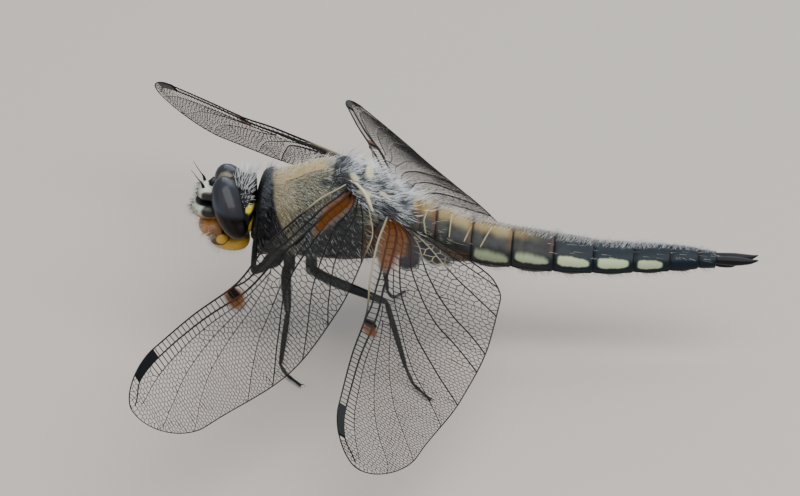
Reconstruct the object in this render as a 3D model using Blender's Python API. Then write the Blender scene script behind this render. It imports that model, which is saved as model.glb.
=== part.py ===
"""Four-spotted chaser dragonfly, perched with its wings drawn forward and down.

A still, life-size model. Sizes are in millimetres and become metres through MM.

Body frame: the origin is the middle of the thorax, +Y runs back to the tail, +X is the
animal's left and +Z is up. The body hangs in this frame from one empty, which lifts it
off the floor and tips the tail down. The legs are laid out in the level frame under the
same point, because the feet stand on the floor, z = 0.
"""
import math

import bmesh
import bpy
import numpy as np
from mathutils import Euler, Matrix, Vector

MM = 0.001

# Posture
THORAX_HEIGHT = 12.0
TAIL_DROP = math.radians(5.2)
JOINT_GAP = 0.12

# Trunk: stations along Y, with half width, half height and height of the section's middle
THORAX_Y = (-6.9, -6.3, -5.0, -3.0, -0.5, 1.8, 3.3, 4.4, 5.3)
THORAX_HALF_WIDTH = (2.55, 3.05, 3.6, 3.85, 3.9, 3.8, 3.5, 3.25, 2.95)
THORAX_HALF_HEIGHT = (2.8, 3.35, 3.9, 4.45, 4.65, 4.15, 3.6, 3.05, 2.7)
THORAX_MIDDLE = (-0.35, -0.35, -0.38, -0.1, 0.15, -0.03, -0.3, -0.5, -0.62)
THORAX_POWER = 2.25
THORAX_SIDES = 24

PROTHORAX_Y = (-8.0, -7.8, -7.4, -7.05)
PROTHORAX_HALF_WIDTH = (1.2, 2.1, 2.5, 2.35)
PROTHORAX_HALF_HEIGHT = (1.3, 2.4, 3.1, 2.9)
PROTHORAX_MIDDLE = -0.1

ABDOMEN_Y = (5.45, 7.5, 10.5, 14.2, 17.8, 21.2, 24.65, 27.7, 30.2, 31.7)
ABDOMEN_HALF_WIDTH = (2.75, 2.65, 2.6, 2.5, 2.42, 2.2, 1.88, 1.58, 1.15, 0.85)
ABDOMEN_HALF_HEIGHT = (2.6, 2.25, 1.9, 1.74, 1.6, 1.36, 1.25, 1.15, 0.92, 0.66)
ABDOMEN_MIDDLE = (-0.65, -1.05, -1.55, -1.84, -1.95, -1.94, -1.68, -1.38, -1.18, -1.07)
ABDOMEN_SIDES = 18
SEGMENT_ENDS = (5.42, 6.25, 7.5, 10.6, 14.2, 17.8, 21.2, 24.65, 27.75, 30.2, 31.7)
SEGMENT_NECK = 0.94
SEGMENT_NECK_LENGTH = 0.22

CERCUS_ROOT = (0.42, 31.82, -0.95)
CERCUS_TIP = (0.66, 35.3, -0.56)
CERCUS_RADII = (0.3, 0.38, 0.42, 0.26)
EPIPROCT_ROOT = (0.0, 31.82, -1.45)
EPIPROCT_TIP = (0.0, 33.6, -1.35)
EPIPROCT_RADII = (0.3, 0.34, 0.28)

# Head
EYE_CENTRE = (1.9, -10.0, 0.02)
EYE_HALF = (1.95, 1.45, 2.8)
EYE_LEAN = math.radians(25.0)
EYE_PITCH = math.radians(26.0)
EYE_INNER = 0.4
EYE_SEAT = 0.14
EYE_SEGMENTS = 20
EYE_RINGS = 14
HEAD_Y = (-8.12, -8.45, -9.0, -9.7, -10.9)
HEAD_HALF_WIDTH = (2.3, 3.1, 3.35, 2.5, 1.4)
HEAD_HALF_HEIGHT = (2.1, 2.45, 2.5, 2.4, 2.2)
HEAD_MIDDLE = -0.2
FACE_BACK = -11.05
# name: centre, half sizes
FACE_PLATES = {
    "frons": ((0.0, -11.78, 0.72), (1.55, 1.2, 0.62)),
    "clypeus": ((0.0, -11.9, -0.8), (1.8, 1.43, 0.7)),
    "labrum": ((0.0, -11.45, -2.25), (1.95, 1.6, 0.65)),
}
LABIUM_CENTRE = (0.0, -9.85, -3.6)
LABIUM_HALF = (1.85, 1.6, 0.76)
ANTENNA_ROOT = (0.8, -12.65, 1.6)
ANTENNA_TIP = (0.95, -13.65, 2.72)
ANTENNA_RADII = (0.28, 0.26, 0.25)

# Wings: length, stations as a share of the length, distance of the front and rear edge
# from the line of the hinge, and the share of the length where the tip starts to close
WING_THICKNESS = 0.5
WING_CHORD_PARTS = 4
TIP_ROUNDING = 1.8
FORE_PLAN = {
    "length": 35.3,
    "front_at": (0.0, 0.12, 0.3, 0.51, 0.68, 0.86, 1.0),
    "front": (0.1, -0.45, -0.42, 0.55, 0.3, 0.45, 0.6),
    "rear_at": (0.0, 0.05, 0.12, 0.3, 0.55, 0.8, 1.0),
    "rear": (3.0, 4.8, 5.7, 7.7, 9.0, 8.15, 7.6),
    "tip_at": 0.84,
    "tip_chord": 3.25,
}
HIND_PLAN = {
    "length": 34.4,
    "front_at": (0.0, 0.12, 0.28, 0.44, 0.62, 0.84, 1.0),
    "front": (0.0, -0.2, 0.05, 0.6, 0.4, 0.55, 0.7),
    "rear_at": (0.0, 0.03, 0.07, 0.13, 0.3, 0.55, 0.8, 1.0),
    "rear": (3.3, 7.4, 10.2, 11.25, 11.35, 10.4, 8.4, 7.2),
    "tip_at": 0.83,
    "tip_chord": 3.5,
}
# hinge point, twist at half length and how much less it is at the root
FORE_HINGE = (2.69, -0.54, 3.6)
FORE_TWIST_RISE = 18.6
HIND_HINGE = (2.89, 3.33, 1.0)
HIND_TWIST_RISE = 15.8
# degrees: drawn forward, drooped, turned rear edge down; the last is the tip's rise in mm
WING_POSES = {
    "wing_fore_left": (FORE_PLAN, FORE_HINGE, 28.0, 8.8, 43.6, FORE_TWIST_RISE, 0.9),
    "wing_fore_right": (FORE_PLAN, FORE_HINGE, 35.9, 10.8, 41.4, FORE_TWIST_RISE, 1.0),
    "wing_hind_left": (HIND_PLAN, HIND_HINGE, 5.4, 7.7, 24.3, HIND_TWIST_RISE, 0.3),
    "wing_hind_right": (HIND_PLAN, HIND_HINGE, 11.0, 8.9, 26.6, HIND_TWIST_RISE, 0.2),
}
WING_STATIONS = (
    *(0.0, 0.03, 0.07, 0.13, 0.2, 0.3, 0.4, 0.51),
    *(0.6, 0.7, 0.8, 0.87, 0.92, 0.96, 0.985, 0.997),
)

# Legs, in the level frame under the thorax: hip, trochanter, knee, ankle and toe. The
# toe's height is set by the floor. The forelegs are tucked up behind the head.
LEG_POINTS = {
    "leg_fore_left": (
        (1.35, -6.2, -3.7), (1.7, -7.1, -4.5), (2.2, -8.1, -4.95),
        (3.05, -7.75, -0.9), (2.75, -7.6, 0.9),
    ),
    "leg_mid_left": (
        (1.75, -5.0, -4.45), (2.6, -5.2, -4.7), (7.0, -4.8, -6.4),
        (7.5, -5.45, -11.1), (9.9, -3.6, 0.0),
    ),
    "leg_hind_left": (
        (1.9, -3.1, -4.65), (3.0, -2.7, -4.4), (7.5, 3.6, -5.0),
        (8.5, 5.3, -10.7), (12.1, 7.5, 0.0),
    ),
    "leg_fore_right": (
        (-1.35, -6.2, -3.7), (-1.7, -7.1, -4.5), (-2.2, -8.1, -4.95),
        (-3.05, -7.75, -0.9), (-2.75, -7.6, 0.9),
    ),
    "leg_mid_right": (
        (-1.75, -5.0, -4.45), (-2.6, -5.2, -4.7), (-6.6, -5.6, -6.0),
        (-7.0, -6.2, -11.1), (-9.3, -6.0, 0.0),
    ),
    "leg_hind_right": (
        (-1.9, -3.1, -4.65), (-3.0, -2.7, -4.4), (-6.6, 2.4, -5.0),
        (-6.6, 3.0, -10.7), (-8.9, 4.4, 0.0),
    ),
}
FEMUR_RADII = (0.42, 0.5, 0.42, 0.3)
TIBIA_RADII = (0.27, 0.3, 0.26)
TARSUS_RADIUS = 0.27
FOOT_LENGTH = 1.3
LIMB_SIDES = 8
KNEE_CLEARANCE = 0.5
ANKLE_CLEARANCE = 0.42

COLOURS = {
    "eye": ((0.055, 0.045, 0.045), 0.12),
    "face": ((0.50, 0.30, 0.06), 0.35),
    "frons": ((0.52, 0.50, 0.34), 0.4),
    "head": ((0.02, 0.02, 0.02), 0.35),
    "thorax": ((0.22, 0.17, 0.07), 0.55),
    "abdomen": ((0.16, 0.15, 0.08), 0.35),
    "abdomen_dark": ((0.015, 0.02, 0.024), 0.35),
    "wing": ((0.42, 0.38, 0.30), 0.2),
    "leg": ((0.012, 0.012, 0.012), 0.3),
}
DARK_FROM_SEGMENT = 7


def clear_scene():
    """Take every object out of the scene."""
    for obj in list(bpy.data.objects):
        bpy.data.objects.remove(obj, do_unlink=True)


def cubic_through(stations, values, at):
    """Values of a smooth curve through (station, value) pairs, with no overshoot."""
    x = np.asarray(stations, float)
    y = np.asarray(values, float)
    step = np.diff(x)
    slope = np.diff(y) / step
    tangent = np.concatenate(([slope[0]], np.zeros(len(x) - 2), [slope[-1]]))
    for i in range(1, len(x) - 1):
        if slope[i - 1] * slope[i] > 0:
            tangent[i] = 2 * slope[i - 1] * slope[i] / (slope[i - 1] + slope[i])
    at = np.clip(np.asarray(at, float), x[0], x[-1])
    k = np.clip(np.searchsorted(x, at, side="right") - 1, 0, len(x) - 2)
    t = (at - x[k]) / step[k]
    start = (1 + 2 * t) * (1 - t) ** 2 * y[k] + t * (1 - t) ** 2 * step[k] * tangent[k]
    end = t * t * (3 - 2 * t) * y[k + 1] - t * t * (1 - t) * step[k] * tangent[k + 1]
    return start + end


def paint(obj, finish):
    """Give an object its own material from a named colour and roughness."""
    colour, roughness = COLOURS[finish]
    material = bpy.data.materials.new(obj.name)
    material.use_nodes = True
    shader = material.node_tree.nodes["Principled BSDF"]
    shader.inputs["Base Color"].default_value = (*colour, 1.0)
    shader.inputs["Roughness"].default_value = roughness
    shader.inputs["Metallic"].default_value = 0.0
    obj.data.materials.append(material)


def add_object(name, bm, finish=None, sharp_angle=40.0):
    """Turn a bmesh built in millimetres into a named object in metres."""
    bmesh.ops.scale(bm, vec=(MM, MM, MM), verts=bm.verts)
    bmesh.ops.recalc_face_normals(bm, faces=bm.faces)
    mesh = bpy.data.meshes.new(name)
    bm.to_mesh(mesh)
    bm.free()
    mesh.shade_smooth()
    mesh.set_sharp_from_angle(angle=math.radians(sharp_angle))
    obj = bpy.data.objects.new(name, mesh)
    bpy.context.collection.objects.link(obj)
    if finish:
        paint(obj, finish)
    return obj


def loft(rings):
    """Join rings of equal counts of points into one closed skin with flat ends."""
    bm = bmesh.new()
    loops = [[bm.verts.new(p) for p in ring] for ring in rings]
    count = len(loops[0])
    for a, b in zip(loops, loops[1:]):
        for i in range(count):
            j = (i + 1) % count
            bm.faces.new((a[i], a[j], b[j], b[i]))
    bm.faces.new(loops[0])
    bm.faces.new(reversed(loops[-1]))
    return bm


def trunk_ring(y, half_width, half_height, middle, sides, power=2.0):
    """One upright cross-section of the trunk, a rounded oval at station y."""
    ring = []
    for i in range(sides):
        angle = 2 * math.pi * (i + 0.5) / sides
        c = math.cos(angle)
        s = math.sin(angle)
        x = half_width * math.copysign(abs(c) ** (2 / power), c)
        z = middle + half_height * math.copysign(abs(s) ** (2 / power), s)
        ring.append((x, y, z))
    return ring


def abdomen_ring(y, shrink=1.0):
    """A cross-section of the abdomen at station y."""
    half_width = float(cubic_through(ABDOMEN_Y, ABDOMEN_HALF_WIDTH, y)) * shrink
    half_height = float(cubic_through(ABDOMEN_Y, ABDOMEN_HALF_HEIGHT, y)) * shrink
    middle = float(cubic_through(ABDOMEN_Y, ABDOMEN_MIDDLE, y))
    return trunk_ring(y, half_width, half_height, middle, ABDOMEN_SIDES)


def build_thorax():
    """The fused middle and hind thorax that carries the wings and most of the legs."""
    rows = zip(THORAX_Y, THORAX_HALF_WIDTH, THORAX_HALF_HEIGHT, THORAX_MIDDLE)
    rings = [trunk_ring(y, w, h, z, THORAX_SIDES, THORAX_POWER) for y, w, h, z in rows]
    return add_object("thorax", loft(rings), "thorax")


def build_prothorax():
    """The small first ring of the thorax behind the head."""
    rows = zip(PROTHORAX_Y, PROTHORAX_HALF_WIDTH, PROTHORAX_HALF_HEIGHT)
    rings = [trunk_ring(y, w, h, PROTHORAX_MIDDLE, ABDOMEN_SIDES) for y, w, h in rows]
    return add_object("prothorax", loft(rings), "head")


def build_abdomen():
    """Ten rings of the abdomen, each a little narrower where it leaves the last one."""
    segments = []
    for number, (start, end) in enumerate(zip(SEGMENT_ENDS, SEGMENT_ENDS[1:]), 1):
        first = start + JOINT_GAP / 2
        last = end - JOINT_GAP / 2
        neck = min(SEGMENT_NECK_LENGTH, (last - first) / 4)
        rings = [
            abdomen_ring(first, SEGMENT_NECK),
            abdomen_ring(first + neck),
            abdomen_ring((first + last) / 2),
            abdomen_ring(last - neck / 2),
            abdomen_ring(last, SEGMENT_NECK),
        ]
        finish = "abdomen_dark" if number >= DARK_FROM_SEGMENT else "abdomen"
        segments.append(add_object(f"abdomen_{number}", loft(rings), finish))
    return segments


def superellipsoid(centre, half, power=2.6, rings=10, sides=20):
    """A closed rounded block around a centre."""
    bm = bmesh.new()
    bmesh.ops.create_uvsphere(bm, u_segments=sides, v_segments=rings, radius=1.0)
    for vert in bm.verts:
        size = sum(abs(c) ** power for c in vert.co) ** (1 / power)
        vert.co = Vector(c / size * h + m for c, h, m in zip(vert.co, half, centre))
    return bm


def keep_side(bm, point, normal):
    """Cut a closed mesh with a plane, keep the side the normal points to, and close it."""
    geometry = bm.verts[:] + bm.edges[:] + bm.faces[:]
    bmesh.ops.bisect_plane(
        bm, geom=geometry, plane_co=point, plane_no=normal, dist=1e-4, clear_inner=True
    )
    rim = [edge for edge in bm.edges if edge.is_boundary]
    bmesh.ops.edgeloop_fill(bm, edges=rim)
    return bm


def eye_mesh(side, grow=0.0):
    """One compound eye, flat where it meets its fellow, grown by a margin if asked."""
    half = tuple(h + grow for h in EYE_HALF)
    bm = bmesh.new()
    bmesh.ops.create_uvsphere(bm, u_segments=EYE_SEGMENTS, v_segments=EYE_RINGS, radius=1.0)
    lean = Euler((0.0, -EYE_LEAN * side, 0.0)).to_matrix().to_4x4()
    centre = Vector((EYE_CENTRE[0] * side, EYE_CENTRE[1], EYE_CENTRE[2]))
    pitch = Euler((EYE_PITCH, 0.0, 0.0)).to_matrix().to_4x4()
    matrix = Matrix.Translation(centre) @ pitch @ lean @ Matrix.Diagonal((*half, 1.0))
    bmesh.ops.transform(bm, matrix=matrix, verts=bm.verts)
    return keep_side(bm, (side * (EYE_INNER - grow), 0, 0), (side, 0, 0))


def cut_eye_seats(pieces):
    """Sink both eyes into the pieces of the head, with a thin clearance all round."""
    cutters = []
    for name, side in (("left", 1), ("right", -1)):
        cutter = add_object(f"eye_seat_{name}", eye_mesh(side, EYE_SEAT))
        cutter.hide_render = True
        cutter.display_type = "WIRE"
        cutters.append(cutter)
    for piece in pieces:
        for cutter in cutters:
            boolean = piece.modifiers.new(cutter.name, "BOOLEAN")
            boolean.operation = "DIFFERENCE"
            boolean.solver = "EXACT"
            boolean.object = cutter
    return cutters


def build_head():
    """The head: capsule, face plates, lower lip, eyes and feelers."""
    rows = zip(HEAD_Y, HEAD_HALF_WIDTH, HEAD_HALF_HEIGHT)
    rings = [trunk_ring(y, w, h, HEAD_MIDDLE, THORAX_SIDES, THORAX_POWER) for y, w, h in rows]
    capsule = add_object("head", loft(rings), "head")
    pieces = []
    for name, (centre, half) in FACE_PLATES.items():
        plate = keep_side(superellipsoid(centre, half), (0, FACE_BACK, 0), (0, -1, 0))
        pieces.append(add_object(name, plate, "frons" if name == "frons" else "face"))
    labium = add_object("labium", superellipsoid(LABIUM_CENTRE, LABIUM_HALF), "face")
    cutters = cut_eye_seats([capsule, labium, *pieces])
    eyes = [add_object("eye_left", eye_mesh(1), "eye"), add_object("eye_right", eye_mesh(-1), "eye")]
    feelers = [
        build_rod("antenna_left", ANTENNA_ROOT, ANTENNA_TIP, ANTENNA_RADII, "head", 1),
        build_rod("antenna_right", ANTENNA_ROOT, ANTENNA_TIP, ANTENNA_RADII, "head", -1),
    ]
    return [capsule, labium, *pieces, *cutters, *eyes, *feelers]


def limb_rings(points, radii):
    """Rings along a jointed limb, each square to it, with a flat face turned down."""
    points = [Vector(p) for p in points]
    rings = []
    for i, (point, radius) in enumerate(zip(points, radii)):
        before = (point - points[i - 1]).normalized() if i else None
        after = (points[i + 1] - point).normalized() if i < len(points) - 1 else None
        along = ((before or after) + (after or before)).normalized()
        across = along.cross(Vector((0, 0, 1)))
        if across.length < 1e-3:
            across = Vector((1, 0, 0))
        across.normalize()
        upward = across.cross(along)
        ring = []
        for k in range(LIMB_SIDES):
            angle = 2 * math.pi * (k + 0.5) / LIMB_SIDES
            ring.append(point + across * radius * math.cos(angle) + upward * radius * math.sin(angle))
        rings.append(ring)
    return rings


def build_rod(name, root, tip, radii, finish, side=1):
    """A straight tapered rod from root to tip, mirrored for the right side."""
    root = Vector((root[0] * side, root[1], root[2]))
    tip = Vector((tip[0] * side, tip[1], tip[2]))
    points = [root.lerp(tip, i / (len(radii) - 1)) for i in range(len(radii))]
    return add_object(name, loft(limb_rings(points, radii)), finish)


def build_tail():
    """The clasping appendages at the end of the abdomen."""
    return [
        build_rod("cercus_left", CERCUS_ROOT, CERCUS_TIP, CERCUS_RADII, "abdomen_dark", 1),
        build_rod("cercus_right", CERCUS_ROOT, CERCUS_TIP, CERCUS_RADII, "abdomen_dark", -1),
        build_rod("epiproct", EPIPROCT_ROOT, EPIPROCT_TIP, EPIPROCT_RADII, "abdomen_dark"),
    ]


def build_leg(name, points):
    """One leg as thigh, shin and foot, in the level frame, with its foot on the floor."""
    hip, trochanter, knee, ankle, toe = (Vector(p) for p in points)
    thigh_end = knee - (knee - trochanter).normalized() * JOINT_GAP
    middle = trochanter.lerp(thigh_end, 0.5)
    thigh = add_object(
        f"{name}_femur", loft(limb_rings((hip, trochanter, middle, thigh_end), FEMUR_RADII)), "leg"
    )
    down = (ankle - knee).normalized()
    shin_start = knee + down * KNEE_CLEARANCE
    shin_end = ankle - down * JOINT_GAP
    shin_points = (shin_start, shin_start.lerp(shin_end, 0.4), shin_end)
    shin = add_object(f"{name}_tibia", loft(limb_rings(shin_points, TIBIA_RADII)), "leg")
    if toe.z == 0.0:
        sole = TARSUS_RADIUS * math.cos(math.pi / LIMB_SIDES) - THORAX_HEIGHT
        toe = Vector((toe.x, toe.y, sole))
        level = Vector((toe.x - ankle.x, toe.y - ankle.y, 0.0)).normalized()
        heel = toe - level * FOOT_LENGTH
        start = ankle + (heel - ankle).normalized() * ANKLE_CLEARANCE
        rings = limb_rings((start, heel, toe), (TARSUS_RADIUS,) * 3)
        floor_rings = limb_rings((heel, toe), (TARSUS_RADIUS,) * 2)
        rings = [rings[0], *floor_rings]
    else:
        start = ankle + (toe - ankle).normalized() * ANKLE_CLEARANCE
        rings = limb_rings((start, toe), (TARSUS_RADIUS,) * 2)
    foot = add_object(f"{name}_tarsus", loft(rings), "leg")
    return [thigh, shin, foot]


def wing_edges(plan, share):
    """Front and rear edge of a wing at a share of its length, closing at the tip."""
    front = float(cubic_through(plan["front_at"], plan["front"], share))
    rear = float(cubic_through(plan["rear_at"], plan["rear"], share))
    past = max(0.0, (share - plan["tip_at"]) / (1.0 - plan["tip_at"]))
    closing = 1.0 - max(0.0, 1.0 - past**TIP_ROUNDING) ** (1.0 / TIP_ROUNDING)
    front += (plan["tip_chord"] - front) * closing
    rear += (plan["tip_chord"] - rear) * closing
    return front, rear


def wing_point(pose, side, share, across, above):
    """A point on a wing in the body frame, from its place along, across and above it."""
    plan, hinge, forward, droop, turn, rise, lift = pose
    twist = -math.radians(turn) + math.radians(rise) * (0.5 - share)
    local = Vector((
        share * plan["length"],
        across * math.cos(twist) - above * math.sin(twist),
        across * math.sin(twist) + above * math.cos(twist) + lift * share * share,
    ))
    swept = Matrix.Rotation(-math.radians(forward), 3, "Z")
    drooped = Matrix.Rotation(math.radians(droop), 3, "Y")
    point = swept @ drooped @ local + Vector(hinge)
    return Vector((point.x * side, point.y, point.z))


def build_wing(name, pose):
    """One wing as a thin twisted plate with its true outline."""
    side = 1 if name.endswith("left") else -1
    bm = bmesh.new()
    layers = []
    for above in (-WING_THICKNESS / 2, WING_THICKNESS / 2):
        rows = []
        for share in WING_STATIONS:
            front, rear = wing_edges(pose[0], share)
            steps = [front + (rear - front) * k / WING_CHORD_PARTS for k in range(WING_CHORD_PARTS + 1)]
            rows.append([bm.verts.new(wing_point(pose, side, share, v, above)) for v in steps])
        layers.append(rows)
    low, high = layers
    for rows in layers:
        for a, b in zip(rows, rows[1:]):
            for k in range(WING_CHORD_PARTS):
                bm.faces.new((a[k], a[k + 1], b[k + 1], b[k]))
    for i in range(len(low) - 1):
        for k in (0, WING_CHORD_PARTS):
            bm.faces.new((low[i][k], low[i + 1][k], high[i + 1][k], high[i][k]))
    for i in (0, len(low) - 1):
        for k in range(WING_CHORD_PARTS):
            bm.faces.new((low[i][k], low[i][k + 1], high[i][k + 1], high[i][k]))
    return add_object(name, bm, "wing")


def seat_wings(wings, thorax):
    """Cut each wing back to a thin clearance outside the wall of the thorax."""
    wall = bpy.data.objects.new("thorax_clearance", thorax.data.copy())
    bpy.context.collection.objects.link(wall)
    bm = bmesh.new()
    bm.from_mesh(wall.data)
    for vert in bm.verts:
        vert.co += vert.normal * JOINT_GAP * MM
    bm.to_mesh(wall.data)
    bm.free()
    wall.hide_render = True
    wall.display_type = "WIRE"
    for wing in wings:
        boolean = wing.modifiers.new("root", "BOOLEAN")
        boolean.operation = "DIFFERENCE"
        boolean.solver = "EXACT"
        boolean.object = wall
    return wall


def stand_on_floor(body_pieces, leg_pieces):
    """Hang the body and the legs from empties that put the soles on the floor."""
    body = bpy.data.objects.new("body_posture", None)
    stance = bpy.data.objects.new("stance", None)
    for empty in (body, stance):
        bpy.context.collection.objects.link(empty)
        empty.location = (0.0, 0.0, THORAX_HEIGHT * MM)
    body.rotation_euler = (-TAIL_DROP, 0.0, 0.0)
    for piece in body_pieces:
        piece.parent = body
    for piece in leg_pieces:
        piece.parent = stance
    return body, stance


def centre_over_origin(empties):
    """Move the whole animal level, until its box is centred on the origin."""
    bpy.context.view_layer.update()
    graph = bpy.context.evaluated_depsgraph_get()
    corners = []
    for obj in bpy.context.scene.objects:
        if obj.type == "MESH" and not obj.hide_render:
            seen = obj.evaluated_get(graph)
            corners += [seen.matrix_world @ vert.co for vert in seen.data.vertices]
    for axis in (0, 1):
        low = min(corner[axis] for corner in corners)
        high = max(corner[axis] for corner in corners)
        for empty in empties:
            empty.location[axis] -= (low + high) / 2


def main():
    """Build the dragonfly."""
    clear_scene()
    thorax = build_thorax()
    wings = [build_wing(name, pose) for name, pose in WING_POSES.items()]
    wall = seat_wings(wings, thorax)
    body = [thorax, wall, build_prothorax(), *build_abdomen(), *build_tail(), *build_head(), *wings]
    legs = []
    for name, points in LEG_POINTS.items():
        legs += build_leg(name, points)
    centre_over_origin(stand_on_floor(body, legs))


main()
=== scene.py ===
"""A life-size still model of a four-spotted dragonfly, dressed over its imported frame."""

import logging
import math
from dataclasses import dataclass, field
from enum import Enum
from typing import Callable

import bpy
import numpy as np
from mathutils import Euler, Matrix, Vector
from mathutils.geometry import delaunay_2d_cdt


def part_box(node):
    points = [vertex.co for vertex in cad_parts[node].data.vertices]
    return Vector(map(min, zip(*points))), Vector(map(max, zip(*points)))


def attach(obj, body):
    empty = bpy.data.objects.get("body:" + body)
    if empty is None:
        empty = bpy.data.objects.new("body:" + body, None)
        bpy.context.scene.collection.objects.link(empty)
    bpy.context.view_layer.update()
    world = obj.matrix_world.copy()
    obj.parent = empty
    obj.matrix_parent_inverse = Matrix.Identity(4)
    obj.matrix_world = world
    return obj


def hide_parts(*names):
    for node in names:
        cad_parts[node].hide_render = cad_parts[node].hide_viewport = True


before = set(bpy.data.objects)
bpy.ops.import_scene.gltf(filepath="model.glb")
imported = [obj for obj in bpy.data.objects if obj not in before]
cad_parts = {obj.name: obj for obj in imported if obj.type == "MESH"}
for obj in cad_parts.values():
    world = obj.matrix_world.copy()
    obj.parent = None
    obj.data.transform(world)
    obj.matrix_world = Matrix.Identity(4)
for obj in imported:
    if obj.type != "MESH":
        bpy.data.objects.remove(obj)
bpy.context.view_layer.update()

LOG = logging.getLogger("dragonfly")
MM = 0.001
SEED = 20
TAIL_DROP = math.radians(5.2)  # the body slopes down to the tail by this much
THORAX_HEIGHT = 12.0  # mm from the floor to the middle of the thorax
THORAX_SHIFT = 0.845  # mm from the middle of the thorax solid's box to its own zero
BAKE_MAP = "OFBake"
TUFT_PATCH = 0.0015  # half size of one hair's patch on the bake map
HAIR_SPAN = (0.065, 0.935)  # hairs root between these shares of a skin, clear of its end caps
HAIR_DEPTH = 0.04  # mm that a hair's root is sunk in the skin
HAIR_TAPER = 0.75  # share of its thickness that a hair loses towards its tip
HAIR_SCATTER = 0.12  # random part of the direction that a hair leaves the skin in
WHITE_POWER = 2.6  # higher leaves fewer white hairs among the others
CLOUD_RANGE = (0.42, 0.68)  # where a blotch begins and is full, in the cloudy pattern

Array = np.ndarray
Colour = tuple[float, float, float, float]
Piece = bpy.types.Object
Tree = bpy.types.NodeTree
Socket = bpy.types.NodeSocket
RANDOM = np.random.default_rng(SEED)


class Side(Enum):
    """The two halves of the animal. The value is the sign of X."""

    LEFT = 1
    RIGHT = -1


# ---------------------------------------------------------------- small sums


def linear(code: str) -> Colour:
    """Turns an sRGB colour into a linear one.

    Args:
        code: the colour, such as "#8c8550".

    Returns:
        Linear red, green, blue and alpha.
    """
    parts = [int(code[i : i + 2], 16) / 255 for i in (1, 3, 5)]
    low = [p / 12.92 if p <= 0.04045 else ((p + 0.055) / 1.055) ** 2.4 for p in parts]
    return (*low, 1.0)


def cubic_through(stations: tuple, values: tuple, at: Array) -> Array:
    """A smooth curve through (station, value) pairs, with no overshoot.

    Args:
        stations: rising places along the curve.
        values: the value at each station.
        at: where the curve is wanted.

    Returns:
        The values there, held at the ends.
    """
    x = np.asarray(stations, float)
    y = np.asarray(values, float)
    step = np.diff(x)
    slope = np.diff(y) / step
    product = slope[:-1] * slope[1:]
    total = np.where(slope[:-1] + slope[1:] == 0, 1, slope[:-1] + slope[1:])
    inner = np.where(product > 0, 2 * product / total, 0.0)
    tangent = np.concatenate(([slope[0]], inner, [slope[-1]]))
    at = np.clip(np.asarray(at, float), x[0], x[-1])
    k = np.clip(np.searchsorted(x, at, side="right") - 1, 0, len(x) - 2)
    t = (at - x[k]) / step[k]
    start = (1 + 2 * t) * (1 - t) ** 2 * y[k] + t * (1 - t) ** 2 * step[k] * tangent[k]
    end = t * t * (3 - 2 * t) * y[k + 1] - t * t * (1 - t) * step[k] * tangent[k + 1]
    return start + end


def soft_step(low: float, high: float, value: Array) -> Array:
    """A smooth step from 0 at low to 1 at high, where low may be the larger."""
    t = np.clip((np.asarray(value, float) - low) / (high - low), 0.0, 1.0)
    return t * t * (3 - 2 * t)


def line_mask(px: Array, py: Array, path: tuple, width: float, soft: float) -> Array:
    """How much each place lies on a painted or sunk line.

    Args:
        px: first coordinate of the places.
        py: second coordinate of the places.
        path: the corners of the line.
        width: half width at full strength.
        soft: how far the strength takes to fade.

    Returns:
        1 on the line, 0 away from it.
    """
    nearest = np.full(np.shape(px), 1e9)
    for (ax, ay), (bx, by) in zip(path, path[1:]):
        dx, dy = bx - ax, by - ay
        t = np.clip(((px - ax) * dx + (py - ay) * dy) / (dx * dx + dy * dy + 1e-12), 0, 1)
        nearest = np.minimum(nearest, np.hypot(px - ax - t * dx, py - ay - t * dy))
    return 1 - soft_step(width, width + soft, nearest)


def spot_mask(px: Array, py: Array, place: tuple, size: tuple, soft: float = 0.35) -> Array:
    """1 inside an oval spot and 0 outside, with a soft edge."""
    away = np.hypot((px - place[0]) / size[0], (py - place[1]) / size[1])
    return 1 - soft_step(1 - soft, 1 + soft, away)


def unit(rows: Array) -> Array:
    """Every row scaled to length 1."""
    return rows / np.maximum(np.linalg.norm(rows, axis=-1, keepdims=True), 1e-12)


# ---------------------------------------------------------------- mesh tools


def activate(obj: Piece) -> None:
    """Makes one object the only selected and active one.

    Args:
        obj: the object.
    """
    bpy.ops.object.select_all(action="DESELECT")
    obj.select_set(True)
    bpy.context.view_layer.objects.active = obj


def named(obj: Piece, name: str) -> Piece:
    """Gives an object and its mesh the same name.

    Args:
        obj: the object.
        name: the name for both.

    Returns:
        The same object.
    """
    obj.name = name
    obj.data.name = name
    return obj


def coordinates(obj: Piece) -> Array:
    """Reads the vertices of an object.

    Args:
        obj: the object.

    Returns:
        One row of three for each vertex.
    """
    flat = np.zeros(len(obj.data.vertices) * 3)
    obj.data.vertices.foreach_get("co", flat)
    return flat.reshape(-1, 3)


def set_coordinates(obj: Piece, rows: Array) -> None:
    """Moves the vertices of an object to new rows."""
    obj.data.vertices.foreach_set("co", np.ascontiguousarray(rows, float).ravel())
    obj.data.update()


def set_mask(obj: Piece, name: str, values: Array) -> None:
    """Stores a marking on the vertices, to be read by the finish."""
    layer = obj.data.attributes.get(name) or obj.data.attributes.new(name, "FLOAT", "POINT")
    layer.data.foreach_set("value", np.clip(values, 0, 1).astype(np.float32))


def edit_all(obj: Piece) -> None:
    """Opens a mesh for editing with all of it selected.

    Args:
        obj: the object.
    """
    activate(obj)
    bpy.ops.object.mode_set(mode="EDIT")
    bpy.ops.mesh.select_all(action="SELECT")


def face_outward(obj: Piece) -> None:
    """Turns every face of a closed mesh to look outward.

    Args:
        obj: the closed mesh.
    """
    edit_all(obj)
    bpy.ops.mesh.normals_make_consistent(inside=False)
    bpy.ops.object.mode_set(mode="OBJECT")


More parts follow.
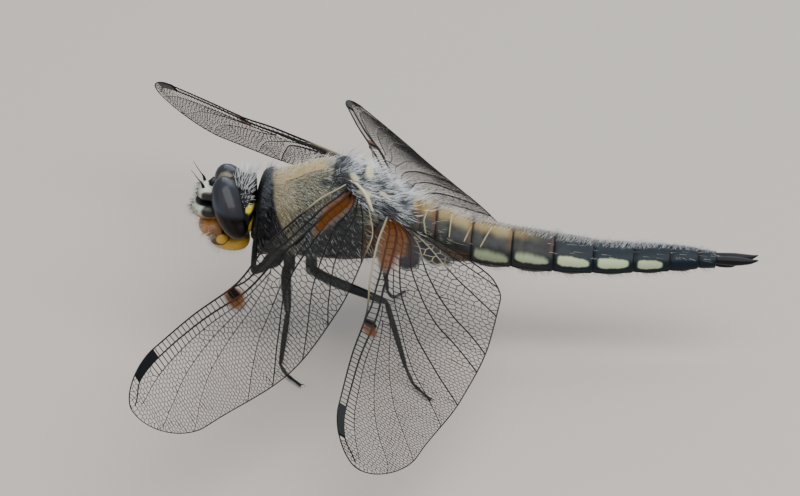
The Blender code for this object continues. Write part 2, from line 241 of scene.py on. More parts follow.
def weld(obj: Piece, distance: float) -> None:
    """Merges the vertices that lie close together.

    Args:
        obj: the mesh.
        distance: how close they have to be.
    """
    edit_all(obj)
    bpy.ops.mesh.remove_doubles(threshold=distance)
    bpy.ops.object.mode_set(mode="OBJECT")


def thicken(obj: Piece, thickness: float) -> None:
    """Gives a sheet a thickness, half to each side, and closes its rim.

    Args:
        obj: the sheet.
        thickness: its thickness.
    """
    activate(obj)
    solid = obj.modifiers.new("thickness", "SOLIDIFY")
    solid.thickness = thickness
    solid.offset = 0.0
    bpy.ops.object.modifier_apply(modifier=solid.name)


def linked(name: str, data: bpy.types.ID) -> Piece:
    """Puts new data in the scene.

    Args:
        name: name of the object.
        data: its mesh, curve, light or camera.

    Returns:
        The object.
    """
    obj = bpy.data.objects.new(name, data)
    bpy.context.collection.objects.link(obj)
    return obj


def joined(name: str, parts: list) -> Piece:
    """Joins meshes into one object.

    Args:
        name: name of the object.
        parts: the meshes.

    Returns:
        The joined mesh.
    """
    activate(parts[0])
    for part in parts[1:]:
        part.select_set(True)
    if len(parts) > 1:
        bpy.ops.object.join()
    return named(bpy.context.view_layer.objects.active, name)


def ball(name: str, segments: int, rings: int) -> Piece:
    """Adds a sphere of radius 1 to be shaped further.

    Args:
        name: name of the object.
        segments: faces round it.
        rings: faces from pole to pole.

    Returns:
        The sphere.
    """
    bpy.ops.object.select_all(action="DESELECT")
    bpy.ops.mesh.primitive_uv_sphere_add(segments=segments, ring_count=rings, radius=1.0)
    return named(bpy.context.active_object, name)


def blob(name: str, centre: tuple, half: tuple, power: float = 2.4) -> Piece:
    """A small rounded block, for knobs and claspers.

    Args:
        name: name of the object.
        centre: its middle in millimetres.
        half: half its size along each axis.
        power: 2 for an oval, more for a squarer block.

    Returns:
        The closed mesh, in millimetres.
    """
    obj = ball(name, 20, 12)
    rows = coordinates(obj)
    size = (np.abs(rows) ** power).sum(1) ** (1 / power)
    set_coordinates(obj, rows / size[:, None] * np.array(half) + np.array(centre))
    return obj


def tube(name: str, path: Array, radii: Array, resolution: int = 3) -> Piece:
    """A closed round tube along a path, with its own radius at every point.

    Args:
        name: name of the object.
        path: the points of its middle line, in millimetres.
        radii: the radius at every point.
        resolution: bevel steps of a quarter of the round.

    Returns:
        The closed mesh, in millimetres.
    """
    path = np.asarray(path, float)
    radii = np.broadcast_to(np.asarray(radii, float), len(path))
    curve = bpy.data.curves.new(name, "CURVE")
    curve.dimensions = "3D"
    curve.bevel_depth = 1.0
    curve.bevel_resolution = resolution
    curve.use_fill_caps = True
    curve.twist_mode = "MINIMUM"
    line = curve.splines.new("POLY")
    line.points.add(len(path) - 1)
    line.points.foreach_set("co", np.column_stack((path, np.ones(len(path)))).ravel())
    line.points.foreach_set("radius", radii.astype(np.float32))
    activate(linked(name, curve))
    bpy.ops.object.convert(target="MESH")
    obj = bpy.context.view_layer.objects.active
    weld(obj, 1e-4)
    return named(obj, name)


def through(points: list, count: int) -> Array:
    """Lays a smooth path through a few corners.

    Args:
        points: the corners.
        count: how many points the path has.

    Returns:
        The evenly spaced points of the path.
    """
    rows = np.asarray([tuple(p) for p in points], float)
    along = np.concatenate(([0], np.cumsum(np.linalg.norm(np.diff(rows, axis=0), axis=1))))
    at = np.linspace(0, along[-1], count)
    return np.column_stack([cubic_through(along, rows[:, i], at) for i in range(3)])


def mirrored(points: tuple, side: Side) -> list:
    """The same points on one side of the body, where the left is as given."""
    return [(x * side.value, y, z) for x, y, z in points]


def swelling(stations: tuple, values: tuple, count: int) -> Array:
    """The radius at each of count even places, given at a few stations from 0 to 1."""
    return cubic_through(stations, values, np.linspace(0, 1, count))


# ---------------------------------------------------------------- finishes


def add_node(tree: Tree, kind: str, inputs: dict | None = None, **settings: object) -> bpy.types.Node:
    """Adds a node with its settings, socket values and links.

    Args:
        tree: the node tree it goes in.
        kind: the node's type name.
        inputs: socket name or number to a value, or to the output that feeds it.
        settings: the node's own properties.

    Returns:
        The new node.
    """
    node = tree.nodes.new(kind)
    for name, value in settings.items():
        setattr(node, name, value)
    for key, value in (inputs or {}).items():
        if isinstance(value, bpy.types.NodeSocket):
            tree.links.new(value, node.inputs[key])
        else:
            node.inputs[key].default_value = value
    return node


def mixed(tree: Tree, factor: Socket, first: Colour | Socket, second: Colour) -> Socket:
    """The colour output of a mix of two colours."""
    node = add_node(tree, "ShaderNodeMix", {0: factor, 6: first, 7: second}, data_type="RGBA")
    return node.outputs[2]


def mask_output(tree: Tree, name: str) -> Socket:
    """The output that carries a marking stored on the vertices."""
    node = add_node(tree, "ShaderNodeAttribute", attribute_name=name, attribute_type="GEOMETRY")
    return node.outputs["Fac"]


def grain(tree: Tree, size_mm: float, detail: float = 3.0) -> Socket:
    """Adds a cloudy pattern on Object coordinates.

    Args:
        tree: the node tree it goes in.
        size_mm: how far across its blotches are.
        detail: how many finer layers it has.

    Returns:
        The output with its strength.
    """
    coordinate = add_node(tree, "ShaderNodeTexCoord").outputs["Object"]
    settings = {"Vector": coordinate, "Scale": 1 / (size_mm * MM), "Detail": detail}
    return add_node(tree, "ShaderNodeTexNoise", settings).outputs["Fac"]


@dataclass(frozen=True)
class Finish:
    """A finish: one colour, markings over it, blotches, fine relief and gloss."""

    name: str
    base: str
    layers: tuple = ()  # (mask name, sRGB colour) pairs, painted in this order
    blotch: str = ""  # colour of the blotches, none if empty
    blotch_mm: float = 0.8
    blotch_share: float = 0.4
    relief_mm: float = 0.0
    relief_grain_mm: float = 0.08
    roughness: float = 0.4
    ior: float = 1.5
    gloss: float = 0.5
    coat: float = 0.0
    coat_roughness: float = 0.08
    sheen: float = 0.0

    def colour(self, tree: Tree) -> Colour | Socket:
        """Paints the blotches and then the markings over the base colour.

        Args:
            tree: the material's node tree.

        Returns:
            The output with the colour, or the plain colour if nothing is painted.
        """
        value = linear(self.base)
        if self.blotch:
            low, high = CLOUD_RANGE
            cloud = grain(tree, self.blotch_mm, 4.0)
            settings = {"Value": cloud, "From Min": low, "From Max": high, "To Max": self.blotch_share}
            spread = add_node(tree, "ShaderNodeMapRange", settings).outputs[0]
            value = mixed(tree, spread, value, linear(self.blotch))
        for mask, code in self.layers:
            value = mixed(tree, mask_output(tree, mask), value, linear(code))
        return value

    def dress(self, tree: Tree, shader: bpy.types.Node) -> None:
        """Hook for finishes that set more of the shader."""

    def material(self) -> bpy.types.Material:
        """Makes the material once; it is then shared.

        Returns:
            The material.
        """
        made = bpy.data.materials.get(self.name)
        if made:
            return made
        made = bpy.data.materials.new(self.name)
        made.use_nodes = True
        tree = made.node_tree
        shader = tree.nodes["Principled BSDF"]
        colour = self.colour(tree)
        if isinstance(colour, bpy.types.NodeSocket):
            tree.links.new(colour, shader.inputs["Base Color"])
        else:
            shader.inputs["Base Color"].default_value = colour
        settings = {
            "Roughness": self.roughness,
            "IOR": self.ior,
            "Specular IOR Level": self.gloss,
            "Coat Weight": self.coat,
            "Coat Roughness": self.coat_roughness,
            "Sheen Weight": self.sheen,
        }
        for socket, value in settings.items():
            shader.inputs[socket].default_value = value
        if self.relief_mm:
            settings = {"Height": grain(tree, self.relief_grain_mm), "Distance": self.relief_mm * MM}
            bump = add_node(tree, "ShaderNodeBump", settings)
            tree.links.new(bump.outputs[0], shader.inputs["Normal"])
        self.dress(tree, shader)
        return made


@dataclass(frozen=True)
class ClearFinish(Finish):
    """A see-through film, more solid where its stains are."""

    film: float = 0.04  # how much the clear film covers
    stained: float = 0.97  # how much a full stain covers

    def dress(self, tree: Tree, shader: bpy.types.Node) -> None:
        """Makes the film clear between its stains.

        Args:
            tree: the material's node tree.
            shader: its shader.
        """
        settings = {"Value": mask_output(tree, "stain"), "To Min": self.film, "To Max": self.stained}
        cover = add_node(tree, "ShaderNodeMapRange", settings)
        tree.links.new(cover.outputs[0], shader.inputs["Alpha"])


# Tanned insect cuticle, grown and hardened in the air: chitin over a pigmented layer. It gives a
# satin surface with fine pits and cloudy olive, tan and black fields.
THORAX_CUTICLE = Finish(
    "thorax_cuticle",
    "#46483a",
    (
        ("tan", "#ab986a"),
        ("grey", "#121c26"),
        ("amber", "#43280a"),
        ("cream", "#c4bb92"),
        ("dark", "#08090a"),
    ),
    blotch="#23251c",
    blotch_mm=0.9,
    blotch_share=0.8,
    relief_mm=0.03,
    roughness=0.5,
    ior=1.35,
)
# The same cuticle on the rings: smoother, dark olive in front and blue-black behind.
ABDOMEN_CUTICLE = Finish(
    "abdomen_cuticle",
    "#2a2c2a",
    (
        # tan, and along the top of the front rings partly a painted sheen
        ("tan", "#96804c"),
        ("blue", "#04161f"),
        ("green", "#a8b58f"),
        # cream streaks, and painted pale highlights ahead of two joints
        ("cream", "#b9ad80"),
        ("rust", "#5c3a16"),
        ("dark", "#040506"),
    ),
    blotch="#100f0c",
    blotch_mm=0.7,
    blotch_share=0.75,
    relief_mm=0.02,
    roughness=0.4,
    ior=1.35,
    gloss=0.35,
)
# The blackest cuticle, on the claspers.
TAIL_CUTICLE = Finish(
    "tail_cuticle", "#04070a", blotch="#0a1218", relief_mm=0.02, roughness=0.4, ior=1.35, gloss=0.35
)
# Black cuticle with clear yellow spots.
HEAD_CUTICLE = Finish(
    "head_cuticle",
    "#0a0908",
    (("spot", "#d0c024"),),
    relief_mm=0.015,
    roughness=0.4,
    ior=1.3,
)
# Thin pale cuticle over yellow pigment, with a waxy shine.
FACE_CUTICLE = Finish(
    "face_cuticle",
    "#a56f2a",
    (("pale", "#b2b8a4"), ("brown", "#52340e"), ("yellow", "#cc9f30"), ("dark", "#05080c")),
    blotch="#704a1c",
    blotch_mm=0.5,
    relief_mm=0.02,
    roughness=0.45,
    coat=0.15,
    coat_roughness=0.25,
)
# Black cuticle, a little glossy where the light runs along the leg.
LEG_CUTICLE = Finish(
    "leg_cuticle", "#05070a", blotch="#0c0f13", relief_mm=0.015, roughness=0.35, ior=1.35
)
# Eye: a glossy cornea of tiny lenses over two bands of pigment, with a painted blue-grey sheen. Its lenses
# are 0.03 mm across, too fine to show, so the relief is drawn a little coarser.
EYE_CORNEA = Finish(
    "eye_cornea",
    "#2a2c31",
    (
        # painted reflection: the blue-grey sheen patch
        ("sheen", "#39434c"),
        ("low", "#030202"),
        ("streak", "#1d1209"),
        ("rim", "#77705a"),
        ("edge", "#030303"),
    ),
    blotch="#332d31",
    blotch_mm=1.2,
    relief_mm=0.004,
    relief_grain_mm=0.05,
    roughness=0.3,
    ior=1.3,
    gloss=0.3,
    coat=0.2,
    coat_roughness=0.04,
)
# Wing film: two bare layers of clear cuticle, stained amber and black near the root.
WING_FILM = ClearFinish(
    "wing_film",
    "#6c6a62",
    (("amber", "#583208"), ("smoke", "#1c1008"), ("dark", "#060607")),
    roughness=0.35,
    ior=1.25,
    gloss=0.25,
)
# Veins: hollow blackened tubes of cuticle, pale and amber at the root.
WING_VEIN = Finish(
    "wing_vein", "#0d0a08", (("amber", "#3a1c08"), ("pale", "#857d66")), roughness=0.7, ior=1.25
)
# The thick blood-filled mark near the tip: opaque blue-black cuticle.
WING_MARK = Finish("wing_mark", "#06090c", relief_mm=0.01, roughness=0.5, ior=1.25)
# Cord: the folded soft cuticle between the wings.
WING_CORD = Finish("wing_cord", "#c6bf9e", relief_mm=0.02, roughness=0.5, ior=1.35)
# Hair: fine bristles of clear to pale brown cuticle.
COAT_HAIR = Finish(
    "coat_hair",
    "#b5aa84",
    (("tan", "#b09a62"), ("grey", "#98a3ab"), ("white", "#e6e8ea"), ("dark", "#5a5f66")),
    roughness=0.5,
    sheen=0.3,
)
# Matt pale paint on the studio floor.
FLOOR_PAINT = Finish("floor_paint", "#b3aaa0", roughness=0.8)


# ---------------------------------------------------------------- placing


@dataclass(frozen=True)
class Posture:
    """Where the body's own millimetre frame stands on the floor."""

    zero: Vector
    drop: float

    def body(self) -> Matrix:
        """From body millimetres to row metres, for all that slopes with the body."""
        return self.level() @ Matrix.Rotation(-self.drop, 4, "X")

    def level(self) -> Matrix:
        """The same without the slope, for the legs."""
        return Matrix.Translation(self.zero) @ Matrix.Scale(MM, 4)


def find_posture() -> Posture:
    """Finds the posture from where the thorax solid stands.

    Returns:
        The posture of the whole body.
    """
    low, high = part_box("thorax")
    middle = (low + high) / 2
    zero = Vector((middle.x, middle.y + THORAX_SHIFT * MM, THORAX_HEIGHT * MM))
    return Posture(zero, TAIL_DROP)


def settle(
    obj: Piece,
    matrix: Matrix,
    finish: Finish,
    nodes: tuple = (),
    crease: float = 50.0,
) -> Piece:
    """Puts a finished piece in its place and hands it to the frame.

    Args:
        obj: the piece, built in millimetres.
        matrix: from its millimetres to the row frame.
        finish: what it is finished with.
        nodes: CAD nodes that it stands for.
        crease: edges sharper than this many degrees stay sharp.

    Returns:
        The same piece.
    """
    obj.data.transform(matrix)
    obj.matrix_world = Matrix.Identity(4)
    obj.data.materials.clear()
    obj.data.materials.append(finish.material())
    activate(obj)
    bpy.ops.object.shade_smooth_by_angle(angle=math.radians(crease))
    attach(obj, "root")
    if nodes:
        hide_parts(*nodes)
    LOG.info("%s: %d faces", obj.name, len(obj.data.polygons))
    return obj


# ---------------------------------------------------------------- skins and coat


@dataclass(frozen=True)
class Hull:
    """A rounded tube by its half width, half height and middle at stations along the body."""

    stations: tuple
    half_width: tuple
    half_height: tuple
    middle: tuple
    power: float = 2.0
    inset: float = 0.1  # mm kept free for the hairs
    cap: float = 0.4  # mm of length in which each end rounds off

    def along(self, u: Array) -> tuple[Array, Array]:
        """Runs along the body and rounds off its ends.

        Args:
            u: shares of the way along the skin, from 0 to 1.

        Returns:
            Place along the body, and share of full size there.
        """
        edge = 0.06
        first, last = self.stations[0] + self.inset, self.stations[-1] - self.inset
        middle = first + self.cap + (last - first - 2 * self.cap) * (u - edge) / (1 - 2 * edge)
        near = np.clip(u / edge, 0, 1) * math.pi / 2
        far = np.clip((1 - u) / edge, 0, 1) * math.pi / 2
        y = np.where(u < edge, first + self.cap * (1 - np.cos(near)), middle)
        y = np.where(u > 1 - edge, last - self.cap * (1 - np.cos(far)), y)
        return y, np.minimum(np.sin(near), np.sin(far))

    def section(self, y: Array) -> list:
        """Half width, half height and middle at places along the body."""
        rows = (self.half_width, self.half_height, self.middle)
        return [cubic_through(self.stations, row, y) for row in rows]

    def point(self, u: Array, angle: Array, relief: Array) -> Array:
        """Finds points of the skin.

        Args:
            u: shares of the way along the skin.
            angle: angles round it, from the left side over the top.
            relief: millimetres that each point is moved out.

        Returns:
            The points, in millimetres.
        """
        y, share = self.along(u)
        width, height, middle = self.section(y)
        c, s = np.cos(angle), np.sin(angle)
        power = 2 / self.power
        x = (width - self.inset + relief) * share * np.sign(c) * np.abs(c) ** power
        z = (height - self.inset + relief) * share * np.sign(s) * np.abs(s) ** power
        return np.column_stack((x, y, middle + z))


class Skin:
    """A closed skin with markings, on which a coat can grow. Places are (u, angle)."""

    hull: Hull
    degree: float  # mm round the skin for one degree

    def seam(self, y: Array, arc: Array, path: tuple, width: float, soft: float) -> Array:
        """How much each place lies on a line of (place along the body, degrees) corners."""
        corners = tuple((a, b * self.degree) for a, b in path)
        return line_mask(y, arc * self.degree, corners, width, soft)

    def relief(self, y: Array, arc: Array) -> Array:
        """Millimetres that the skin stands out, by place and degrees from the top."""
        return np.zeros_like(y)

    def marks(self, rows: Array, arc: Array) -> dict[str, Array]:
        """The markings, by point and degrees from the top."""
        return {}

    def place(self, u: Array, angle: Array) -> Array:
        """Points of the skin."""
        y, _ = self.hull.along(u)
        return self.hull.point(u, angle, self.relief(y, self.arc(angle)))

    @staticmethod
    def arc(angle: Array) -> Array:
        """Degrees from the top of the back, 0 to 180, on either side."""
        return np.degrees(np.arccos(np.clip(np.sin(angle), -1, 1)))

    def lie(self, rows: Array) -> Array:
        """The direction that a hair leans to, by point: backward."""
        return np.array((0.0, 1.0, 0.0)) + 0 * rows

    def normals(self, u: Array, angle: Array) -> Array:
        """Finds the directions that the skin faces.

        Args:
            u: shares of the way along the skin.
            angle: angles round it.

        Returns:
            One outward direction for each place.
        """
        step = 1e-3
        along = self.place(u + step, angle) - self.place(u - step, angle)
        around = self.place(u, angle + step) - self.place(u, angle - step)
        return unit(np.cross(along, around))

    def build(self, name: str, segments: int, rings: int) -> Piece:
        """Makes the skin as one closed mesh with its markings.

        Args:
            name: name of the piece.
            segments: faces round it.
            rings: faces along it.

        Returns:
            The skin, in millimetres.
        """
        obj = ball(name, segments, rings)
        rows = coordinates(obj)
        u = np.arccos(np.clip(rows[:, 2], -1, 1)) / math.pi
        angle = np.arctan2(rows[:, 1], rows[:, 0])
        points = self.place(u, angle)
        set_coordinates(obj, points)
        for mask, values in self.marks(points, self.arc(angle)).items():
            set_mask(obj, mask, values)
        face_outward(obj)
        return obj


@dataclass(frozen=True)
class Tress:
    """One kind of hair: how many, how long and thick, and how it lies."""

    count: int
    length: float
    radius: float
    lean: float = 0.5  # 0 stands straight up, 1 lies flat
    curl: float = 0.3  # how far the tip bends over, as a share of the length
    spread: float = 0.35  # random share of the length
    rings: int = 2


@dataclass(frozen=True)
class Coat:
    """One coat of hair: its kind of hair and where on the skin it grows."""

    name: str
    tress: Tress
    where: Callable  # share of full density, by point and degrees from the top
    long: Callable | None = None  # share of full length, by the same
    white: float = 0.0  # least share of white in a hair


def hair_mesh(name: str, tress: Tress, roots: Array, ups: Array, lies: Array, lengths: Array,
              spots: Array, marks: dict[str, Array]) -> Piece:
    """A joined mesh of closed, tapered, three-sided hairs.

    Args:
        name: name of the object.
        tress: the kind of hair.
        roots: where each hair grows, in millimetres.
        ups: the skin's direction at each root.
        lies: the direction that each hair leans to.
        lengths: millimetres of each hair.
        spots: each root's place on the bake map.
        marks: the skin's markings at each root.

    Returns:
        The mesh, with its bake map.
    """
    count = len(roots)
    scatter = RANDOM.normal(0, HAIR_SCATTER, (count, 3))
    start = unit(ups * (1 - tress.lean) + lies * tress.lean + scatter)
    side = unit(np.cross(start, RANDOM.normal(0, 1, (count, 3))))
    other = np.cross(start, side)
    rings = tress.rings
    per = rings * 3 + 1
    rows = np.zeros((count, per, 3))
    patch = np.zeros((count, per, 2))
    for ring in range(rings + 1):
        u = ring / rings
        middle = roots - HAIR_DEPTH * ups + lengths[:, None] * (u * start + tress.curl * u * u * lies)
        if ring == rings:
            rows[:, -1] = middle
            patch[:, -1] = spots
            continue
        radius = tress.radius * (1 - HAIR_TAPER * u)
        for corner in range(3):
            turn = 2 * math.pi * corner / 3
            offset = math.cos(turn) * side + math.sin(turn) * other
            rows[:, ring * 3 + corner] = middle + radius * offset
            reach = TUFT_PATCH * (1 - 0.7 * u)
            patch[:, ring * 3 + corner] = spots + reach * np.array((math.cos(turn), math.sin(turn)))
    faces = [(2, 1, 0)]
    for ring in range(rings - 1):
        base = ring * 3
        for corner in range(3):
            after = (corner + 1) % 3
            faces.append((base + corner, base + after, base + 3 + after, base + 3 + corner))
    base = rings * 3 - 3
    faces += [(base + corner, base + (corner + 1) % 3, per - 1) for corner in range(3)]
    shifts = np.arange(count) * per
    every = [tuple(int(shift) + corner for corner in face) for shift in shifts for face in faces]
    mesh = bpy.data.meshes.new(name)
    mesh.from_pydata(rows.reshape(-1, 3).tolist(), [], every)
    mesh.update()
    obj = linked(name, mesh)
    layer = mesh.uv_layers.new(name=BAKE_MAP)
    corners = np.zeros(len(mesh.loops), np.int32)
    mesh.loops.foreach_get("vertex_index", corners)
    layer.data.foreach_set("uv", patch.reshape(-1, 2)[corners].astype(np.float32).ravel())
    for mask, values in marks.items():
        set_mask(obj, mask, np.repeat(values, per))
    return obj


def grow(skin: Skin, coat: Coat) -> Piece:
    """Grows one coat of hair on a skin.

    Args:
        skin: the skin that it grows on.
        coat: the coat.

    Returns:
        The joined hairs, in millimetres.
    """
    tress = coat.tress
    u = RANDOM.uniform(*HAIR_SPAN, tress.count)
    angle = RANDOM.uniform(-math.pi, math.pi, tress.count)
    points = skin.place(u, angle)
    arc = skin.arc(angle)
    kept = RANDOM.uniform(0, 1, tress.count) < coat.where(points, arc)
    u, angle, points, arc = u[kept], angle[kept], points[kept], arc[kept]
    lengths = tress.length * (1 + tress.spread * RANDOM.uniform(-1, 1, len(u)))
    if coat.long:
        lengths = lengths * coat.long(points, arc)
    spots = np.column_stack(((angle / (2 * math.pi)) % 1.0, u))
    ups = skin.normals(u, angle)
    marks = skin.marks(points, arc)
    pale = np.maximum(marks.get("white", 0.0), coat.white)
    marks["white"] = pale + (1 - pale) * RANDOM.uniform(0, 1, len(u)) ** WHITE_POWER
    return hair_mesh(coat.name, tress, points, ups, unit(skin.lie(points)), lengths, spots, marks)


def wear(skin: Skin, coats: tuple, posture: Posture, finish: Finish) -> None:
    """Grows every coat of a skin and hands it to the frame.

    Args:
        skin: the skin that they grow on.
        coats: the coats, in order.
        posture: where the body stands.
        finish: what the hairs are finished with.
    """
    for coat in coats:
        settle(grow(skin, coat), posture.body(), finish)


# ---------------------------------------------------------------- thorax


@dataclass(frozen=True)
class Bump:
    """A rise or hollow of the skin: place along the body, degrees from the top, sizes."""

    y: float
    arc: float
    length: float
    width: float
    height: float

    def on(self, y: Array, arc: Array) -> Array:
        """Millimetres that it adds."""
        away = ((y - self.y) / self.length) ** 2 + ((arc - self.arc) / self.width) ** 2
        return self.height * np.exp(-away)


@dataclass(frozen=True)
class Thorax(Skin):
    """The box of the chest with its back plates, side seams and long coat."""

    hull: Hull = Hull(
        (-8.4, -8.0, -7.6, -7.0, -6.6, -6.0, -5.0, -3.0, -0.5, 1.8, 3.3, 4.4, 5.5, 6.2),
        (1.6, 2.4, 2.75, 2.85, 2.95, 3.3, 3.65, 3.85, 3.9, 3.8, 3.5, 3.25, 2.85, 2.5),
        (1.7, 2.8, 3.4, 3.45, 3.35, 3.55, 3.9, 4.45, 4.65, 4.15, 3.6, 3.05, 2.65, 2.3),
        (-0.3, -0.3, -0.2, -0.2, -0.3, -0.35, -0.38, -0.1, 0.15, -0.03, -0.3, -0.5, -0.64, -0.75),
        power=2.25,
        inset=0.3,
        cap=0.3,
    )
    plates: tuple = (
        Bump(-1.75, 10, 0.22, 45, -0.28),
        Bump(-0.7, 22, 0.6, 14, 0.2),
        Bump(-0.9, 0, 0.5, 7, -0.15),
        Bump(0.65, 12, 0.25, 40, -0.3),
        Bump(1.45, 0, 0.5, 14, 0.4),
        Bump(2.1, 15, 0.2, 40, -0.28),
        Bump(2.75, 22, 0.45, 14, 0.15),
        Bump(3.45, 10, 0.2, 40, -0.25),
        Bump(3.95, 0, 0.35, 13, 0.3),
        Bump(-0.5, 46, 0.6, 8, -0.3),
        Bump(3.2, 58, 0.6, 9, -0.3),
        Bump(4.6, 20, 0.3, 60, -0.2),
        Bump(-4.0, 0, 2.0, 4, 0.12),
    )
    # what follows is given as (place along the body, degrees from the top)
    seams: tuple = (
        ((-5.9, 118), (-4.6, 92), (-2.8, 66), (-1.2, 50)),
        ((-3.9, 142), (-2.0, 112), (-0.2, 82), (1.0, 64)),
        ((-1.8, 145), (0.6, 118), (2.2, 92), (3.0, 72)),
    )
    groove: tuple = ((-5.4, 24), (-4.0, 17.5), (-2.5, 15.5))
    rim: tuple = ((-6.85, 0), (-6.6, 100), (-6.5, 180))
    dark_spots: tuple = (  # place and half size
        ((-1.1, 9), (0.55, 9)),
        ((-0.7, 36), (0.75, 13)),
        ((-2.3, 37), (0.55, 5)),
        ((2.35, 20), (0.45, 9)),
        ((3.25, 57), (0.75, 12)),
        ((0.4, 40), (0.4, 5)),
        ((4.5, 30), (0.3, 14)),
    )
    cream_spots: tuple = (
        ((0.25, 26), (0.4, 6)),
        ((1.5, 8), (0.35, 12)),
        ((3.0, 34), (0.5, 4)),
        ((1.3, 44), (0.7, 5)),
    )
    amber_spot: tuple = ((2.3, 110), (1.0, 30))
    cord: tuple = ((-0.1, 38, 0.3), (0.5, 41, 0.45), (1.4, 50, 0.5), (2.1, 64, 0.35))  # and height
    degree: float = 0.068  # mm round the skin for one degree
    waist: float = 5.3  # no long hair grows behind this place, under the first ring

    def place(self, u: Array, angle: Array) -> Array:
        """Finds points of the skin, with the neck ring sloping back at the top.

        Args:
            u: shares of the way along the skin.
            angle: angles round it.

        Returns:
            The points, in millimetres.
        """
        rows = Skin.place(self, u, angle)
        rows[:, 1] += 0.1 * (rows[:, 2] + 0.2) * (1 - soft_step(-7.9, -6.2, rows[:, 1]))
        return rows

    def relief(self, y: Array, arc: Array) -> Array:
        """Raises the plates and sinks the seams and the waist behind the neck ring.

        Args:
            y: places along the body.
            arc: degrees from the top.

        Returns:
            Millimetres that the skin stands out.
        """
        total = sum(plate.on(y, arc) for plate in self.plates)
        for path in self.seams:
            total = total - 0.16 * self.seam(y, arc, path, 0.02, 0.16)
        total = total - 0.1 * self.seam(y, arc, self.groove, 0.02, 0.1)
        return total - 0.25 * self.seam(y, arc, self.rim, 0.02, 0.25)

    def marks(self, rows: Array, arc: Array) -> dict[str, Array]:
        """Marks the tan back, olive sides, black seams and wing seats, and cream plates.

        Args:
            rows: points of the skin.
            arc: degrees from the top.

        Returns:
            The strength of each marking at each point.
        """
        y = rows[:, 1]
        dark = np.zeros_like(y)
        for path in self.seams:
            dark = np.maximum(dark, self.seam(y, arc, path, 0.05, 0.16))
        dark = np.maximum(dark, 0.9 * self.seam(y, arc, self.groove, 0.04, 0.14))
        front = 0.0075 * np.minimum(arc, 110) + 0.0004 * np.clip(arc - 55, 0, 50) ** 2
        dark = np.maximum(dark, 1 - soft_step(-6.95, -6.65, y - front))
        dark = np.maximum(dark, soft_step(125, 150, arc) * 0.85)
        for place, size in self.dark_spots:
            dark = np.maximum(dark, spot_mask(y, arc, place, size))
        cream = np.zeros_like(y)
        for place, size in self.cream_spots:
            cream = np.maximum(cream, spot_mask(y, arc, place, size))
        back = (1 - soft_step(17, 27, arc + 3 * (y + 4))) * (1 - soft_step(-2.4, -1.9, y))
        shoulder = 0.4 * (1 - soft_step(-6.2, -3.6, y)) * (1 - soft_step(85, 115, arc))
        low = soft_step(68, 88, arc) * soft_step(-4.6, -3.4, y) * (1 - soft_step(1.9, 2.4, y))
        high = 0.75 * soft_step(-1.9, -1.2, y) * (1 - soft_step(60, 80, arc))
        return {
            "tan": np.maximum(back, shoulder),
            "amber": spot_mask(y, arc, *self.amber_spot, 0.4) * 0.8,
            "white": 0.8 * soft_step(-2.2, -1.2, y) + 0.5 * (1 - soft_step(-6.9, -6.5, y)),
            "grey": np.maximum(high, low * 0.9),
            "cream": cream,
            "dark": dark,
        }

    def seat(self, y: float, arc: float, out: float) -> tuple:
        """Finds a point that stands out from the skin.

        Args:
            y: place along the body.
            arc: degrees from the top.
            out: millimetres out from the skin.

        Returns:
            The point, in millimetres.
        """
        width, height, middle = (float(value) for value in self.hull.section(y))
        turn = math.radians(90 - arc)
        return (width + out) * math.cos(turn), y, middle + (height + out) * math.sin(turn)

    def build_cords(self, posture: Posture) -> None:
        """Builds the pale cord that ties the rear of each fore wing to the hind wing's root.

        Args:
            posture: where the body stands.
        """
        seats = [self.seat(*place) for place in self.cord]
        radii = swelling((0, 0.3, 0.7, 1), (0.04, 0.13, 0.18, 0.06), 20)
        for side in Side:
            cord = tube(f"cord_{side.name.lower()}", through(mirrored(seats, side), 20), radii, 3)
            settle(cord, posture.body(), WING_CORD)

    def lie(self, rows: Array) -> Array:
        """The direction that a hair leans to, by point: backward and a little down."""
        x = rows[:, 0]
        return np.column_stack((0.15 * x, 0.9 + 0 * x, -0.12 * np.abs(x)))

    def down(self, rows: Array, arc: Array) -> Array:
        """Where the short down grows: all over, thinner below and behind."""
        share = 0.08 + 0.92 * (1 - soft_step(50, 95, arc))
        return share * (1 - 0.6 * soft_step(-2.5, -1.2, rows[:, 1])) * (rows[:, 1] < self.waist)

    def pile(self, rows: Array, arc: Array) -> Array:
        """Finds where the long pile grows: on the upper half, thickest in front.

        Args:
            rows: points of the skin.
            arc: degrees from the top.

        Returns:
            Share of full density at each point.
        """
        front = 1 - soft_step(-3.0, -1.0, rows[:, 1])
        share = 1 - (0.85 - 0.35 * front) * soft_step(35, 80, arc)
        return share * soft_step(-6.95, -6.5, rows[:, 1]) * (0.7 + 0.3 * front)

    def pile_length(self, rows: Array, arc: Array) -> Array:
        """Share of full length: short on the sides, long over the wing roots."""
        base = 0.55 + 0.45 * soft_step(-2.5, 1.0, rows[:, 1])
        return base * (1.05 - 0.35 * soft_step(30, 80, arc))

    def mane(self, rows: Array, arc: Array) -> Array:
        """Where the mane grows: along the middle of the front."""
        y = rows[:, 1]
        return (1 - soft_step(12, 32, arc)) * soft_step(-6.7, -6.3, y) * (y < -1.6)

    def collar(self, rows: Array, arc: Array) -> Array:
        """Where the collar grows: a row on the rim, and a little on the neck ring."""
        top = np.exp(-(((rows[:, 1] + 6.9) / 0.35) ** 2)) * (1 - soft_step(25, 60, arc))
        return np.maximum(top, 0.12 * (1 - soft_step(-7.0, -6.8, rows[:, 1])))

    def crest(self, rows: Array, arc: Array) -> Array:
        """Where the tall hair grows: between the wings."""
        y = rows[:, 1]
        return soft_step(-1.6, -0.6, y) * (1 - soft_step(45, 70, arc)) * (y < self.waist)

